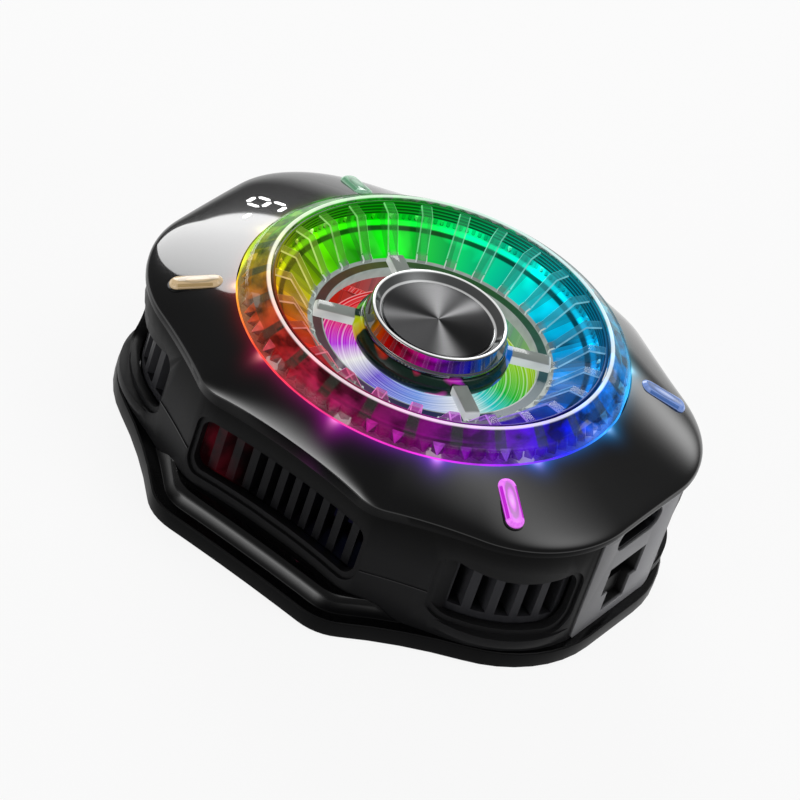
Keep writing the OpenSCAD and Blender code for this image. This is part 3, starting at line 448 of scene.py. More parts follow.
def lit_bowl():
    """Clear bowl: ruled lines at the top, a bright step, saturated panels and a pale, lined collar."""
    finish = Finish("bowl_clear", {"Specular IOR Level": 0.12})
    angle, radius, z = finish.turn()
    fine = finish.noise(700, 3.0)
    steps = angle * sizes().vane_count + 0.5
    hot = finish.noise(160).between(0.46, 0.66)
    step = z.band(23.06, 23.12, 23.38, 23.44)
    dark = z.band(22.72, 22.8, 23.0, 23.06)
    upper = z.between(24.1, 24.2)
    ruled = z.math("PINGPONG", 0.225) / 0.225
    panel = 0.15 + finish.own(steps) * 0.35 + steps.math("FRACT") * 0.3 + hot * 0.6 + step * 0.8
    level = panel * (1 - dark * 0.9) * (1 - upper) + upper * (0.04 + ruled ** 2 * 0.45)
    level = level * (1 - radius.between(20.3, 20.5) * 0.75)
    collar = 1 - radius.between(15.05, 15.15)
    edges = radius.between(14.45, 14.55) + 1 - radius.between(13.34, 13.42)
    clear = finish.blend(edges, finish.rainbow(angle + 0.12, 0.85, 0.03 + fine * 0.04),
                         finish.scaled(PALE, 0.28 + fine * 0.3))
    finish.feed({
        "Base Color": finish.blend(collar, finish.rainbow(angle, 0.95, 0.03), (0.06, 0.08, 0.07)),
        "Roughness": 0.1 + fine * 0.1,
        "Emission Color": finish.blend(collar, finish.rainbow(angle, 0.985, level), clear),
    })


def lit_vanes():
    """Clear vanes: strips that take some of the light's colour, with pale edges and toes."""
    finish = Finish("vane_clear", {"Specular IOR Level": 0.3})
    angle, radius, _ = finish.turn()
    cloud = finish.noise(500, 3.0)
    toe = 1 - radius.between(15.0, 15.5)
    rim, glint = finish.facet("rim"), finish.facet("glint")
    # Painted light: faces that look up glow a little brighter
    slant = finish.facet("rise").between(0.2, 0.5) * (1 - rim)
    body = finish.added(finish.rainbow(angle, 0.7, 0.05 + cloud * glint * 0.5 + slant * 0.15),
                        finish.rainbow(angle, 0.4, rim * (0.1 + cloud * 0.75)))
    finish.feed({
        "Base Color": finish.rainbow(angle, 0.6, 0.03),
        "Roughness": 0.06 + cloud * 0.1,
        "Emission Color": finish.blend(toe, body, finish.scaled(PALE, 0.2 + rim * 0.6)),
        "Alpha": 0.46 + rim * 0.4 + toe * 0.1,
    })


def lit_fan():
    """Rotor that shows the light falling on it as fine concentric streaks."""
    finish = Finish("fan_clear", {"Specular IOR Level": 0.2})
    angle, radius, z = finish.turn((-1.6, 3.4))
    hues, rings = finish.streaks(angle, radius)
    pale = finish.blend(rings.between(0.5, 0.75) * 0.5, hues, (1, 1, 1))
    finish.feed({
        "Base Color": finish.scaled(hues, 0.1),
        "Roughness": 0.2 + rings * 0.2,
        "Emission Color": finish.scaled(pale, (0.5 + rings * 0.5) * z.between(12.0, 16.5)),
    })


def lit_spider():
    """Clear hub flange, dark green with coloured glints and a pale lower edge; grey spokes with painted light
    on their sides.
    """
    finish = Finish("spider_clear", {"IOR": 1.45, "Specular IOR Level": 0.4})
    angle, radius, z = finish.turn()
    cloud = finish.noise(260, 1.0)
    spoke = radius.between(9.62, 9.75)
    glint = finish.rainbow(angle + 0.945, 0.95, cloud.between(0.52, 0.58) * 0.4)
    skirt = finish.scaled((0.24, 0.5, 0.34), 1 - z.between(20.3, 20.6))
    # Painted light: the spokes' sides glow pale and their tops dim grey
    side = finish.scaled((0.66, 0.7, 0.68), 0.3 + cloud * 0.7)
    clear = finish.blend(z.between(22.34, 22.46), side, (0.1, 0.11, 0.1))
    finish.feed({
        "Base Color": finish.blend(spoke, (0.01, 0.05, 0.028), (0.2, 0.22, 0.21)),
        "Roughness": 0.06 + cloud * 0.08,
        "Emission Color": finish.blend(spoke, finish.added(glint, skirt), clear),
    })


def chrome():
    """Dark chrome of the hub cap, with painted highlights along its rim and round the foot of its dish."""
    finish = Finish("hub_chrome", {"Metallic": 1.0})
    _, radius, z = finish.turn()
    haze = finish.noise(260)
    # Painted highlights: white glow along the rim and round the foot of the dish
    rim = z.between(25.2, 25.26)
    foot = 1 - (radius - 7.05).math("ABSOLUTE").between(0.06, 0.14)
    finish.feed({
        "Base Color": finish.blend(haze, (0.22, 0.23, 0.23), (0.4, 0.41, 0.41)),
        "Roughness": 0.06 + haze * 0.06,
        "Emission Color": finish.scaled((1, 1, 1), rim * 0.75 + foot * 0.4),
    })


def lit_duct():
    """Black wall of the fan's duct, with the light that falls on its inside."""
    finish = Finish("duct_black", {"Specular IOR Level": 0.2})
    angle, radius, z = finish.turn()
    hues, rings = finish.streaks(angle, z)
    inside = (1 - radius.between(19.7, 19.9)) * z.between(8, 13)
    finish.feed({
        "Base Color": finish.blend(rings, (0.004, 0.004, 0.004), (0.01, 0.01, 0.01)),
        "Roughness": 0.4 + rings * 0.1,
        "Emission Color": finish.scaled(hues, inside * (0.15 + rings * 0.7)),
    })


def brushed_disc():
    """Disc brushed in circles, with fans of light partly from the brushing's sheen and partly painted into
    its colour.
    """
    finish = Finish("hub_brushed", {"Metallic": 1.0, "Anisotropic": 0.8})
    angle, radius, _ = finish.turn()
    rings = finish.ripples(radius, 14)
    # Painted reflection: fans of light added to the base colour at set angles
    fan = 0.0
    for middle, narrow, level in ((0.4, 9, 0.6), (0.89, 40, 0.6), (0.22, 70, 0.3), (0.62, 60, 0.2)):
        fan = fan + ((angle - middle) * TAU).math("COSINE").most(0.0) ** narrow * level
    finish.feed({
        "Base Color": finish.blend(fan * (0.7 + rings * 0.6), (0.02, 0.02, 0.021), (0.65, 0.65, 0.66)),
        "Roughness": 0.28 + rings * 0.12,
        "Normal": finish.bump(rings, 0.1, 0.01),
    })


def gem(name, shade, light, turned_by=None):
    """Clear tinted plastic; a bar has a pale core inside a darker line, and painted bright and dark facets.
    """
    finish = Finish(name, {"Specular IOR Level": 0.5})
    cloud = finish.noise(900)
    inner, share, level = shade, cloud ** 2, light + cloud * 0.25
    if turned_by is not None:
        x, y, _ = finish.place()
        along = x * math.cos(turned_by) + y * math.sin(turned_by) - BAR_REACH
        across = y * math.cos(turned_by) - x * math.sin(turned_by)
        core = ((along * 0.32) ** 2 + across ** 2) ** 0.5 + (cloud - 0.5) * 0.3
        line = (core - 0.58).math("ABSOLUTE").between(0.06, 0.2)
        rim = finish.facet("rim")
        share = (1 - core.between(0.15, 0.4)) * cloud + rim * 0.4
        inner = finish.blend(line, dimmed(shade, 0.12), shade)
        # Painted highlights: facets glow brighter the more they face a set light, and thin edges glow too
        level = light * (0.1 + finish.facet("glint") * 1.5 + rim * 0.8)
    pale = [0.5 + 0.5 * c for c in shade]
    finish.feed({
        "Base Color": finish.blend(cloud, dimmed(shade, 0.3), dimmed(shade, 0.5)),
        "Roughness": 0.05 + cloud * 0.06,
        "Emission Color": finish.scaled(finish.blend(share, inner, pale), level),
    })


def glowing_digits():
    """Glowing figures, a little uneven."""
    finish = Finish("digit_glow", {"Roughness": 0.4})
    cells = finish.noise(1200)
    shade = list(colours().digits)
    finish.feed({
        "Base Color": finish.blend(cells, (0.8, 0.8, 0.8), shade),
        "Emission Color": finish.scaled(shade, 0.9 + cells * 0.2),
    })


def anodised():
    """Dark anodised fins, lit under the fan, painted lighter in the corner windows, with a painted red glow
    at one end of the front window.
    """
    finish = Finish("fin_dark", {"Metallic": 0.1, "Specular IOR Level": 0.1})
    x, y, _ = finish.place()
    angle, radius, _ = finish.turn()
    drawn = finish.noise(2500, 3.0, (1, 1, 0.05))
    # Painted light: a patchy red glow on the fins at one end of the front window
    near = (angle + 1.0).math("FRACT").band(0.645, 0.665, 0.67, 0.715)
    patches = finish.noise(260).between(0.4, 0.6)
    red = finish.scaled((0.05, 0.002, 0.005), near * (0.1 + patches * 0.9))
    hues, rings = finish.streaks(angle, radius)
    lit = finish.scaled(hues, (0.35 + rings * 0.6) * y.between(-8, -2))
    # Painted light: the fins in the corner windows are lighter than those of the front window
    corner = (x * x).between(15 ** 2, 22 ** 2)
    shade = list(colours().fins)
    finish.feed({
        "Base Color": finish.blend(corner, finish.scaled(shade, 0.5 + drawn * 0.5),
                                   finish.scaled(shade, 2.0 + drawn)),
        "Roughness": 0.4 + (drawn - 0.5) * 0.2,
        "Emission Color": finish.blend(1 - radius.between(21.0, 26.0), red, lit),
        "Normal": finish.bump(drawn, 0.1, 0.02),
    })


def end_plate():
    """Satin grey plate with painted shade: darker towards the front of its face, and black inside its
    openings.
    """
    finish = Finish("port_grey", {"Specular IOR Level": 0.25})
    finish.grain(0.42, 0.15, 0.06)
    x, y, _ = finish.place()
    shade = list(colours().plate)
    # Painted shade: the face darkens towards the front
    face = finish.blend(y.between(-9, 7), dimmed(shade, 0.45), shade)
    # Painted shade: black inside the openings
    inside = 1 - x.between(33.0, 33.35)
    finish.feed({"Base Color": finish.blend(inside, face, (0.001, 0.001, 0.001))})


def make_finishes():
    """Makes a finish for each material slot of the record, and those that only some pieces wear."""
    shade, size = colours(), sizes()
    for name, (code, *values) in MOULDED.items():
        moulded(name, tint(code), *values)
    for name, (code, *values) in METALS.items():
        metal(name, tint(code), *values)
    circuit("board_green", tint("0c4f26"), tint("1a7a3c"))
    circuit("board_white", tint("e4e4de"), tint("cfcfc6"))
    for make in (piano_black, satin_wall, gloss_base, lit_ring, lit_bowl, lit_vanes, lit_fan, lit_spider,
                 chrome, lit_duct, brushed_disc, glowing_digits, anodised, end_plate):
        make()
    lit_prisms("ring_prisms", size.prism_count, 23.1, 24.3)
    lit_prisms("bowl_teeth", size.tooth_count, 23.5, 24.1)
    gem("led_white", (1.0, 0.98, 0.92), 0.4)
    gem("bar_amber", list(shade.bar_front_left), 0.25, math.pi + size.bar_angle)
    gem("bar_magenta", list(shade.bar_front_right), 0.55, -size.bar_angle)
    gem("bar_green", list(shade.bar_rear_left), 0.25, math.pi - size.bar_angle)
    gem("bar_blue", list(shade.bar_rear_right), 0.3, size.bar_angle)


def finish_of(name):
    if not FINISHES:
        make_finishes()
    return FINISHES[name]


# Shapes

AXIS = {"cent": (0, 0, 0), "axis": (0, 0, 1)}


def chain(bm, points, closed=False):
    """A few vertices in millimetres, joined by edges."""
    verts = [bm.verts.new(Vector(point) * MM) for point in points]
    edges = [bm.edges.new(pair) for pair in zip(verts, verts[1:])]
    if closed:
        edges.append(bm.edges.new((verts[-1], verts[0])))
    return verts, edges


def tidy(bm):
    bmesh.ops.remove_doubles(bm, verts=bm.verts[:], dist=0.0005 * MM)
    bmesh.ops.recalc_face_normals(bm, faces=bm.faces[:])
    return bm


def turned(profile, steps=192):
    """Turns a profile of radius and height round the axis; one that starts on the axis stays open there."""
    bm = bmesh.new()
    verts, edges = chain(bm, [(r, 0, z) for r, z in profile], profile[0][0] > 0)
    bmesh.ops.spin(bm, geom=verts + edges, angle=TAU, steps=steps, use_merge=True, **AXIS)
    return tidy(bm)


def around(bm, count):
    """Repeats the mesh round the axis."""
    bmesh.ops.spin(bm, geom=bm.verts[:] + bm.edges[:] + bm.faces[:], angle=TAU * (count - 1) / count,
                   steps=count - 1, use_duplicate=True, **AXIS)
    return bm


def swung(bm, angle):
    """Turns the mesh round the axis."""
    bmesh.ops.rotate(bm, verts=bm.verts[:], cent=AXIS["cent"], matrix=Matrix.Rotation(angle, 3, "Z"))
    return bm


def merged(parts):
    """Joins meshes into one."""
    whole = bmesh.new()
    spare = bpy.data.meshes.new("spare")
    for part in parts:
        part.to_mesh(spare)
        part.free()
        whole.from_mesh(spare)
    bpy.data.meshes.remove(spare)
    return whole


def rounded(bm, edges, width, segments, clamp=False):
    """Rounds edges by a width in millimetres."""
    bmesh.ops.bevel(bm, geom=edges, offset=width * MM, offset_type="OFFSET", affect="EDGES",
                    segments=segments, profile=0.5, clamp_overlap=clamp, material=-1)
    return bm


def soften(bm, width, angle=25, segments=3):
    """Rounds the edges that are sharper than an angle."""
    sharp = [e for e in bm.edges if len(e.link_faces) == 2 and e.calc_face_angle() > math.radians(angle)]
    return rounded(bm, sharp, width, segments, True)


def shifted(bm, extruded, way):
    """Moves the new vertices of an extrusion."""
    verts = [part for part in extruded["geom"] if isinstance(part, bmesh.types.BMVert)]
    bmesh.ops.translate(bm, verts=verts, vec=Vector(way) * MM)


def pulled(points, way):
    """Pulls a flat outline into a solid."""
    bm = bmesh.new()
    face = bm.faces.new(chain(bm, points)[0])
    shifted(bm, bmesh.ops.extrude_face_region(bm, geom=[face]), way)
    return tidy(bm)


def lofted(rings):
    """Joins rings of equal count by bridges, and the last one to the first."""
    bm = bmesh.new()
    loops = [chain(bm, ring, True)[1] for ring in rings]
    for lower, upper in zip(loops, loops[1:] + loops[:1]):
        bmesh.ops.bridge_loops(bm, edges=lower + upper)
    return tidy(bm)


def strip(points, height, thickness):
    """A thin upright band along a path, its thickness on the left."""
    bm = bmesh.new()
    shifted(bm, bmesh.ops.extrude_edge_only(bm, edges=chain(bm, points)[1]), (0, 0, height))
    bmesh.ops.solidify(bm, geom=bm.faces[:], thickness=thickness * MM)
    return tidy(bm)


def copied(node, whole=True):
    """A joined copy of a CAD node's mesh, as a rule with its flat faces made whole."""
    bm = bmesh.new()
    bm.from_mesh(frame["nodes"][node].data)
    bmesh.ops.remove_doubles(bm, verts=bm.verts[:], dist=0.002 * MM)
    if whole:
        bmesh.ops.dissolve_limit(bm, angle_limit=math.radians(0.5), verts=bm.verts[:], edges=bm.edges[:])
    return bm


THIN_EDGE = 0.22 * MM


def facets(mesh):
    """Keeps for each face how it catches the light, how far it looks up, and whether it is a thin edge."""
    names = ("glint", "rise", "rim")
    for name in names:
        mesh.attributes.new(name, "FLOAT", "FACE")
    glint, rise, rim = (mesh.attributes[name].data for name in names)
    light = Vector((-0.55, 0.35, 0.76))
    for face in mesh.polygons:
        corners = [mesh.vertices[v].co for v in face.vertices]
        thin = min((a - b).length for a, b in zip(corners, corners[1:] + corners[:1]))
        uneven = 0.55 + 0.45 * (face.index * 0.618 % 1)
        glint[face.index].value = (0.5 + 0.5 * face.normal.dot(light)) * uneven
        rise[face.index].value = face.normal.z
        rim[face.index].value = float(thin < THIN_EDGE)


def piece(bm, name, finish, body="housing", replaced=(), sharp=30):
    """Makes a mesh a finished piece that rides on a body; its slot is that of its finish, as a rule."""
    mesh = bpy.data.meshes.new(name)
    bm.to_mesh(mesh)
    bm.free()
    if not mesh.polygons:
        raise RuntimeError(name + " has no faces")
    mesh.materials.append(finish_of(finish))
    facets(mesh)
    mesh.shade_smooth()
    mesh.set_sharp_from_angle(angle=math.radians(sharp))
    made = bpy.data.objects.new(name, mesh)
    bpy.context.scene.collection.objects.link(made)
    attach(made, body)
    if replaced:
        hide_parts(*replaced)
    return made


# The cover's lobed outline: half length, half width, corner radius, end flat, front flat, shoulder radius,
# bow radius, dip
COVER_PLAN = (34.0, 27.0, 16.2, 6.2, 11.0, 6.0, 80.0, 0.7)
# Extra steepness of the crown in the front and back dips, and how far its edge is lifted and set out there
DIP_STEEPNESS, DIP_LIFT, DIP_OUTSET = math.radians(47.6), 1.6, 0.8


def arc(centre, radius, start, end, steps):
    turns = [start + (end - start) * i / steps for i in range(steps + 1)]
    return [centre + radius * Vector((math.cos(a), math.sin(a))) for a in turns]


def bearing(way):
    return math.atan2(way.y, way.x)


def quarter(inset):
    """One quarter of the lobed outline, from the end to the front, set in."""
    length_half, width_half, corner_r, end_flat, front_flat, shoulder_r, bow_r, dip = COVER_PLAN
    corner = Vector((length_half - corner_r, end_flat))
    shoulder = Vector((front_flat, width_half - shoulder_r))
    way = shoulder - corner
    near, far = corner_r + bow_r, shoulder_r + bow_r
    along = (near ** 2 - far ** 2 + way.length_squared) / (2 * way.length)
    side = Vector((way.y, -way.x)).normalized()
    bow = corner + way.normalized() * along + side * math.sqrt(near ** 2 - along ** 2)
    drop = shoulder_r - dip
    dip_r = (front_flat ** 2 + drop ** 2 - shoulder_r ** 2) / (2 * dip)
    dip_c = Vector((0, width_half - dip + dip_r))
    back, ahead = bearing(corner - bow), bearing(shoulder - bow)
    straight = [Vector((length_half - inset, end_flat * s / 12)) for s in range(1, 12, 2)]
    return (straight
            + arc(corner, corner_r - inset, 0, bearing(bow - corner), 24)
            + arc(bow, bow_r + inset, back, ahead - (TAU if ahead > back else 0), 12)[1:-1]
            + arc(shoulder, shoulder_r - inset, bearing(bow - shoulder), bearing(dip_c - shoulder), 18)
            + arc(dip_c, dip_r + inset, bearing(shoulder - dip_c), -math.pi / 2, 12)[1:-1])


def outline(inset):
    """The whole lobed outline, counter-clockwise."""
    q = quarter(inset)
    return ([Vector((p.x, p.y)) for p in q] + [Vector((-p.x, p.y)) for p in reversed(q)]
            + [Vector((-p.x, -p.y)) for p in q] + [Vector((p.x, -p.y)) for p in reversed(q)])


def rim_line(y):
    size = sizes()
    return (size.rim_height - size.rim_droop * (y / COVER_PLAN[1]) ** 2) / MM


def rim_ring(inset, lift):
    return [(p.x, p.y, rim_line(p.y) + lift) for p in outline(inset)]


def crown_ring(t):
    """Ring of the cover at share t of the way from its rim to its opening."""
    size = sizes()
    foot, opening = size.foot_height / MM, size.opening_radius / MM
    least = math.atan2(foot - size.rim_height / MM, COVER_PLAN[0] - opening)
    ring = []
    for p in outline(0):
        steeper = math.atan2(foot - rim_line(p.y), p.length - opening) - least
        share = max(steeper, 0) / DIP_STEEPNESS
        edge = rim_line(p.y) + DIP_LIFT * share
        p = p + p.normalized() * DIP_OUTSET * share
        run, rise = p.length - opening, foot - edge
        slope = math.tan(size.lip_slope + (0.75 - 0.4 * share) * steeper)
        lean = math.tan(size.edge_lean + 0.3 * steeper)
        corner = Vector((lean, 1)) * (rise - run * slope) / (1 - lean * slope)
        knee = corner + (0.12 + 0.2 * share) * (run - corner.x) * Vector((1, slope))
        u = 1 - t
        step = (2.25 - 1.2 * share) * u * u * t * corner + 3 * u * t * t * knee + t ** 3 * Vector((run, rise))
        flat = p - p.normalized() * step.x
        ring.append((flat.x, flat.y, edge + step.y))
    return ring


def on_bar(bm, angle):
    """Moves a shape drawn flat at the origin to the place of a light bar."""
    place = (Matrix.Rotation(angle, 4, "Z") @ Matrix.Translation((BAR_REACH * MM, 0, BAR_HEIGHT * MM))
             @ Matrix.Rotation(BAR_TILT, 4, "Y"))
    bmesh.ops.transform(bm, matrix=place, verts=bm.verts[:])
    return bm


def pill(long, wide, low, high, chamfer):
    """A bar with round ends and a facetted top."""
    bm = bmesh.new()
    bmesh.ops.create_cube(bm, size=1)
    bmesh.ops.scale(bm, vec=(long * MM, wide * MM, (high - low) * MM), verts=bm.verts[:])
    bmesh.ops.translate(bm, vec=(0, 0, (high + low) / 2 * MM), verts=bm.verts[:])
    upright = [e for e in bm.edges if abs((e.verts[0].co - e.verts[1].co).normalized().z) > 0.9]
    rounded(bm, upright, wide * 0.48, 8)
    top = [f for f in bm.faces if f.normal.z > 0.9]
    bmesh.ops.inset_region(bm, faces=top, thickness=chamfer * MM)
    slope = Vector((0, 0, chamfer * 0.8 * MM))
    bmesh.ops.translate(bm, vec=slope, verts=list({v for f in top for v in f.verts}))
    bmesh.ops.translate(bm, vec=-slope, verts=bm.verts[:])
    return tidy(bm)


# Pieces

# Distance of the figures' middle from the axis
DISPLAY_REACH = 27.7


class COOLER_OT_cover(Operator):
    """Lofts the glossy cover from its skirt over the crown to the opening for the light ring"""

    bl_idname = "cooler.cover"
    bl_label = "Cover"

    def execute(self, context):
        opening, foot = sizes().opening_radius / MM, sizes().foot_height / MM
        inside = [(opening * math.cos(a), opening * math.sin(a), foot - 1.4)
                  for a in map(bearing, outline(0))]
        rings = [rim_ring(1.2, -0.9), rim_ring(0.3, -0.9), rim_ring(0.06, -0.75), rim_ring(0, -0.45)]
        rings += [crown_ring(t) for t in [0, 0.01] + [i / 28 for i in range(1, 29)]]
        rings += [inside, rim_ring(1.2, 0.15)]
        cover = piece(lofted(rings), "cover_shell", "cover_gloss", replaced=["top_cover"])
        surface = bmesh.new()
        surface.from_mesh(cover.data)
        self.display(BVHTree.FromBMesh(surface))
        surface.free()
        return {"FINISHED"}

    def display(self, surface):
        """Lays a minus sign and a figure on the cover, over the display under it."""
        tip, side = 1.75 / 2, 0.62 / 2
        segment = [(-tip, 0), (side - tip, -side), (tip - side, -side), (tip, 0), (tip - side, side),
                   (side - tip, side)]
        places = [(-1.35, 0, 0), (2.6, 2.2, 0), (2.6, 0, 0), (2.6, -2.2, 0), (3.75, 1.1, 1), (3.75, -1.1, 1),
                  (1.45, 1.1, 1)]
        bars = []
        for right, up, upright in places:
            flat = [(right + (b if upright else a), up + (a if upright else b)) for a, b in segment]
            bar = pulled([(-DISPLAY_REACH - v, u, 0) for u, v in flat], (0, 0, 0.05))
            soften(bar, 0.05, segments=2)
            for vert in bar.verts:
                hit = surface.ray_cast(Vector((vert.co.x, vert.co.y, 1)), Vector((0, 0, -1)))[0]
                vert.co.z += hit.z - 0.01 * MM
            bars.append(bar)
        piece(merged(bars), "display_digits", "digit_glow")


class COOLER_OT_light_ring(Operator):
    """Turns the clear light ring and sets a row of glowing prisms in its wall"""

    bl_idname = "cooler.light_ring"
    bl_label = "Light ring"

    def execute(self, context):
        wall = [(23.17, 21.2), (24.07, 21.2), (24.07, 23.4), (23.54, 24.4), (23.14, 24.5), (21.35, 25.9),
                (21.0, 26.2), (20.75, 25.9), (20.75, 24.7), (21.0, 24.9), (22.24, 23.5), (23.17, 22.8)]
        ring = soften(turned(wall, 240), 0.1, 12)
        piece(ring, "ring_wall", "ring_clear", replaced=["light_ring"])
        count = sizes().prism_count
        half = 23.2 * math.tan(math.pi / count) * 0.92
        prism = pulled([(23.1, -half, 23.15), (23.75, 0, 23.15), (23.1, half, 23.15)], (-0.45, 0, 1.15))
        piece(around(soften(prism, 0.05, segments=1), count), "ring_prisms", "ring_prisms")
        return {"FINISHED"}


class COOLER_OT_vaned_bowl(Operator):
    """Turns the bowl with its fine lines, cuts its row of teeth and stands the vanes in it"""

    bl_idname = "cooler.vaned_bowl"
    bl_label = "Vaned bowl"

    def execute(self, context):
        lines = []
        for i in range(3):
            z = 25.6 - i * 0.45
            lines += [(20.18 - i * 0.03, z), (19.99 - i * 0.03, z - 0.14), (20.16 - i * 0.03, z - 0.3)]
        outer = [(13.2, 19.9), (15.1, 19.9), (19.5, 21.8), (19.5, 21.2), (20.6, 21.2), (20.6, 25.8),
                 (20.2, 25.8)]
        inner = [(20.0, 24.1), (19.95, 23.45), (19.6, 23.4), (19.25, 23.1), (15.55, 21.4), (15.1, 21.2),
                 (13.2, 21.2)]
        shell = soften(turned(outer + lines + inner, 208), 0.05, 30, 2)
        piece(shell, "bowl_shell", "bowl_clear", replaced=["vaned_bowl"])
        count = sizes().tooth_count
        half = 20.0 * math.tan(math.pi / count) * 0.8
        tooth = pulled([(20.05, -half, 23.5), (19.7, 0, 23.5), (20.05, half, 23.5)], (0.03, 0, 0.62))
        piece(around(tooth, count), "bowl_teeth", "bowl_teeth")
        thick = sizes().vane_thickness / MM
        side = [(15.3, 20.8), (14.6, 20.8), (14.6, 21.7), (15.3, 22.1), (18.2, 25.6), (20.3, 25.75),
                (20.3, 22.1)]
        vane = soften(pulled([(r, -thick / 2, z) for r, z in side], (0, thick, 0)), 0.14, 20, 1)
        piece(around(swung(vane, math.pi / 2), sizes().vane_count), "bowl_vanes", "vane_clear")
        return {"FINISHED"}


class COOLER_OT_hub(Operator):
    """Turns the clear flange with its four spokes, the dark chrome cap and its brushed disc"""

    bl_idname = "cooler.hub"
    bl_label = "Hub"

    def execute(self, context):
        flange = [(0, 19.4), (7.7, 19.4), (9.2, 20.35), (9.6, 20.9), (9.6, 21.7), (9.0, 22.6), (0, 22.6)]
        flange = soften(turned(flange, 160), 0.18, 15)
        piece(flange, "hub_flange", "spider_clear", replaced=["hub_spider"])
        side = [(9.0, 21.2), (14.5, 21.2), (14.5, 22.2), (14.1, 22.5), (9.0, 22.5)]
        spokes, half, a = [], 0.95, sizes().bar_angle
        for angle in (a, -a, math.pi - a, math.pi + a):
            spoke = pulled([(r, -half, z) for r, z in side], (0, 2 * half, 0))
            spokes.append(swung(soften(spoke, 0.14, 20, 2), angle))
        piece(merged(spokes), "hub_spokes", "spider_clear")
        cap = [(0, 22.6), (8.8, 22.6), (8.8, 23.2), (8.62, 23.35), (8.32, 25.1), (8.15, 25.3), (8.0, 25.3),
               (7.75, 25.1), (6.95, 24.24), (0, 24.2)]
        piece(soften(turned(cap), 0.06, 14, 2), "hub_dish", "hub_chrome", replaced=["hub_cap"])
        disc = [(0, 24.2), (6.8, 24.2), (6.8, 24.42), (6.72, 24.5), (0, 24.5)]
        piece(turned(disc), "hub_disc", "hub_brushed", replaced=["hub_face"])
        return {"FINISHED"}


class COOLER_OT_light_bars(Operator):
    """Sets the four tinted light bars on the cover, each in a black pill that paints the shade of its slot"""

    bl_idname = "cooler.light_bars"
    bl_label = "Light bars"

    def execute(self, context):
        a = sizes().bar_angle
        bars = {"rear_right": (a, "bar_blue"), "rear_left": (math.pi - a, "bar_green"),
                "front_left": (math.pi + a, "bar_amber"), "front_right": (-a, "bar_magenta")}
        for name, (angle, finish) in bars.items():
            bar = soften(pill(6.385, 2.3, -1.5, 0.7, 0.42), 0.07, 20, 1)
            piece(on_bar(bar, angle), "bar_" + name, finish, replaced=["light_bar_" + name])
            # Painted shade: a black pill round each bar stands in for the shaded gap of its slot
            slot_shade = pill(6.9, 2.75, -1.4, 0.14, 0.1)
            piece(on_bar(slot_shade, angle), "bar_slot_shade_" + name, "display_black")
        return {"FINISHED"}


class COOLER_OT_fan(Operator):
    """Smooths the rotor and gives it the streaks of light that fall on it"""

    bl_idname = "cooler.fan"
    bl_label = "Fan"

    def execute(self, context):
        rotor = copied("fan_rotor", False)
        piece(rotor, "rotor_blades", "fan_clear", body="rotor", replaced=["fan_rotor"], sharp=40)
        return {"FINISHED"}


class COOLER_OT_housing(Operator):
    """Rounds the moulded housing, the base, the end plate and the socket's shell, and draws dark parting
    lines on the pillars
    """

    bl_idname = "cooler.housing"
    bl_label = "Housing"

    def execute(self, context):
        width = sizes().edge_round / MM
        for node, rounding in (("mid_housing", width), ("base_tray", width), ("port_plate", width * 1.2),
                               ("usb_shell", width / 3)):
            shape = copied(node)
            if node == "base_tray":
                ridge = [e for e in shape.edges if all(4.0 < v.co.z / MM < 4.1 for v in e.verts)]
                rounded(shape, ridge, 0.45, 6)
            piece(soften(shape, rounding, 28, 2), node + "_rounded", SLOTS[node], replaced=[node])
        self.seams()
        return {"FINISHED"}

    def seams(self):
        """Dark parting lines on the four pillars between the windows."""
        path = [p for p in outline(0.68) if 13.0 < p.x < 20.4 and p.y > 20]
        for name, sx, sy in (("rear_right", 1, 1), ("rear_left", -1, 1), ("front_left", -1, -1),
                             ("front_right", 1, -1)):
            line = strip([(sx * p.x, sy * p.y, 8.0) for p in path], 0.13, 0.1 * sx * sy)
            piece(line, "seam_" + name, "display_black")


class COOLER_OT_inner_parts(Operator):
    """Gives every CAD node that still shows its finish"""

    bl_idname = "cooler.inner_parts"
    bl_label = "Inner parts"

    def execute(self, context):
        for name, node in frame["nodes"].items():
            node.data.materials.clear()
            node.data.materials.append(finish_of("duct_black" if name == "fan_frame" else SLOTS[name]))
        return {"FINISHED"}


FLOOR_RADIUS, FLOOR_DROP = 4.0, 0.0001
LAMP_DISTANCE = 0.7
AIM = Vector((0, 0, 0.02))
# Share of the white background that shows in a gloss; in full it would turn the black cover grey
GLOSS_SHARE = 0.15
# Soft lights of the studio: bearing, rise, narrowness, level
STUDIO_LIGHTS = ((-111, 0, 18, 7.0), (37, 65, 22, 3.0), (90, 20, 100, 3.6))
# Lamps: name, bearing, rise, size, level
LAMPS = (("softbox_back_left", 136, 25, (0.42, 0.27), 7.0), ("fill_right", 5, 12, (0.35, 0.3), 5.0))


def towards(bearing_deg, rise_deg):
    """The direction at a bearing and a rise above the floor."""
    away, up = math.radians(bearing_deg), math.radians(rise_deg)
    return Vector((math.cos(away) * math.cos(up), math.sin(away) * math.cos(up), math.sin(up)))


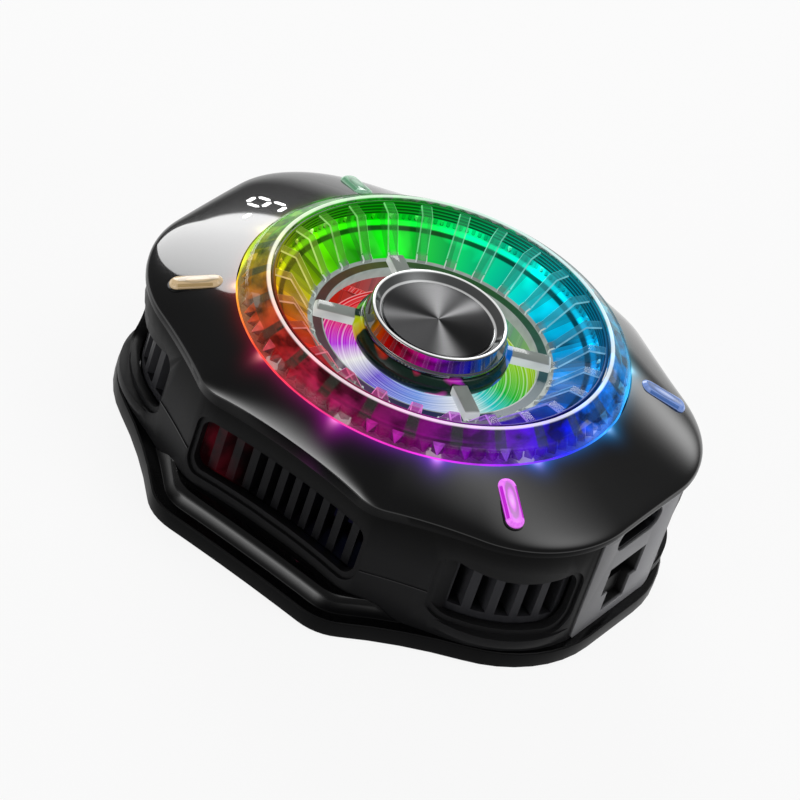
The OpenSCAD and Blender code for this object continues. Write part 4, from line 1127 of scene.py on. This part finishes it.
class COOLER_OT_stage(Operator):
    """Sets the pale floor, the white surround, the soft lamps and the camera"""

    bl_idname = "cooler.stage"
    bl_label = "Stage"

    def execute(self, context):
        scene = context.scene
        scene.view_settings.view_transform = "Standard"
        self.floor(scene)
        self.surround(scene)
        for lamp in LAMPS:
            self.lamp(scene, *lamp)
        lens = bpy.data.cameras.new("camera")
        lens.lens = 225
        lens.sensor_width = 36
        camera = bpy.data.objects.new("camera", lens)
        camera.location = (0.19773578, -0.43184619, 0.3734964)
        camera.rotation_euler = [math.radians(a) for a in (51.04374507, -15.30363344, 36.78176431)]
        scene.collection.objects.link(camera)
        scene.camera = camera
        return {"FINISHED"}

    def floor(self, scene):
        bm = bmesh.new()
        bmesh.ops.create_circle(bm, cap_ends=True, segments=64, radius=FLOOR_RADIUS)
        bmesh.ops.translate(bm, verts=bm.verts[:], vec=(0, 0, -FLOOR_DROP))
        mesh = bpy.data.meshes.new("floor")
        bm.to_mesh(mesh)
        bm.free()
        graph = Graph(bpy.data.materials.new("floor_white"))
        paint = graph.node("BsdfDiffuse", {}, {"Color": (0.9, 0.9, 0.9)})
        straight, mirrored, through = graph.rays()
        seen = straight.most(mirrored).most(through)
        mix = graph.node("MixShader", {}, {0: seen * 0.9, 1: paint, 2: graph.node("Emission")})
        graph.plug(graph.tree.nodes["Material Output"].inputs["Surface"], mix)
        mesh.materials.append(graph.owner)
        made = bpy.data.objects.new("floor", mesh)
        scene.collection.objects.link(made)

    def surround(self, scene):
        """White for the camera and through clear plastic; a dim studio with soft lights for the rest."""
        graph = Graph(bpy.data.worlds.new("surround"))
        way = graph.node("TexCoord", out="Generated")
        rise = graph.node("SeparateXYZ", {}, {0: way}, "Z")
        studio = 1.0 - rise.between(0.0, 0.12) * 0.97
        for bearing_deg, rise_deg, narrow, level in STUDIO_LIGHTS:
            near = graph.node("VectorMath", {"operation": "DOT_PRODUCT"},
                              {0: way, 1: towards(bearing_deg, rise_deg)}, "Value")
            studio = studio + near.most(0.0) ** narrow * level
        straight, mirrored, through = graph.rays()
        white = straight.most(through).most(mirrored * GLOSS_SHARE)
        background = graph.tree.nodes["Background"].inputs
        graph.plug(background["Strength"], white + (1 - white) * studio)
        graph.plug(background["Color"], (1, 1, 1))
        scene.world = graph.owner

    def lamp(self, scene, name, bearing_deg, rise_deg, size, level):
        """A soft lamp in a direction from the object, with the brightness of its face."""
        place = AIM + towards(bearing_deg, rise_deg) * LAMP_DISTANCE
        light = bpy.data.lights.new(name, "AREA")
        light.shape = "RECTANGLE"
        light.size, light.size_y = size
        light.energy = level * math.pi * size[0] * size[1]
        made = bpy.data.objects.new(name, light)
        made.location = place
        made.rotation_euler = (AIM - place).to_track_quat("-Z", "Y").to_euler()
        made.visible_camera = False
        made.visible_glossy = name.startswith("softbox")
        scene.collection.objects.link(made)


class COOLER_PT_panel(Panel):
    """Lists the sizes, the colours and the pieces"""

    bl_idname = "COOLER_PT_panel"
    bl_label = "Phone Cooler"
    bl_space_type = "VIEW_3D"
    bl_region_type = "UI"
    bl_category = "Cooler"

    def draw(self, context):
        for group in (context.scene.cooler_sizes, context.scene.cooler_colours):
            box = self.layout.box()
            for name in group.__annotations__:
                box.prop(group, name)
        for operator in OPERATORS:
            self.layout.operator(operator.bl_idname)


OPERATORS = (
    COOLER_OT_stage,
    COOLER_OT_inner_parts,
    COOLER_OT_cover,
    COOLER_OT_light_ring,
    COOLER_OT_vaned_bowl,
    COOLER_OT_hub,
    COOLER_OT_light_bars,
    COOLER_OT_fan,
    COOLER_OT_housing,
)
CLASSES = (CoolerSizes, CoolerColours) + OPERATORS + (COOLER_PT_panel,)


def register():
    for cls in CLASSES:
        bpy.utils.register_class(cls)
    bpy.types.Scene.cooler_sizes = PointerProperty(type=CoolerSizes)
    bpy.types.Scene.cooler_colours = PointerProperty(type=CoolerColours)


def unregister():
    del bpy.types.Scene.cooler_colours
    del bpy.types.Scene.cooler_sizes
    for cls in reversed(CLASSES):
        bpy.utils.unregister_class(cls)


def main():
    register()
    for operator in OPERATORS:
        group, name = operator.bl_idname.split(".")
        getattr(getattr(bpy.ops, group), name)()


if __name__ == "__main__":
    main()
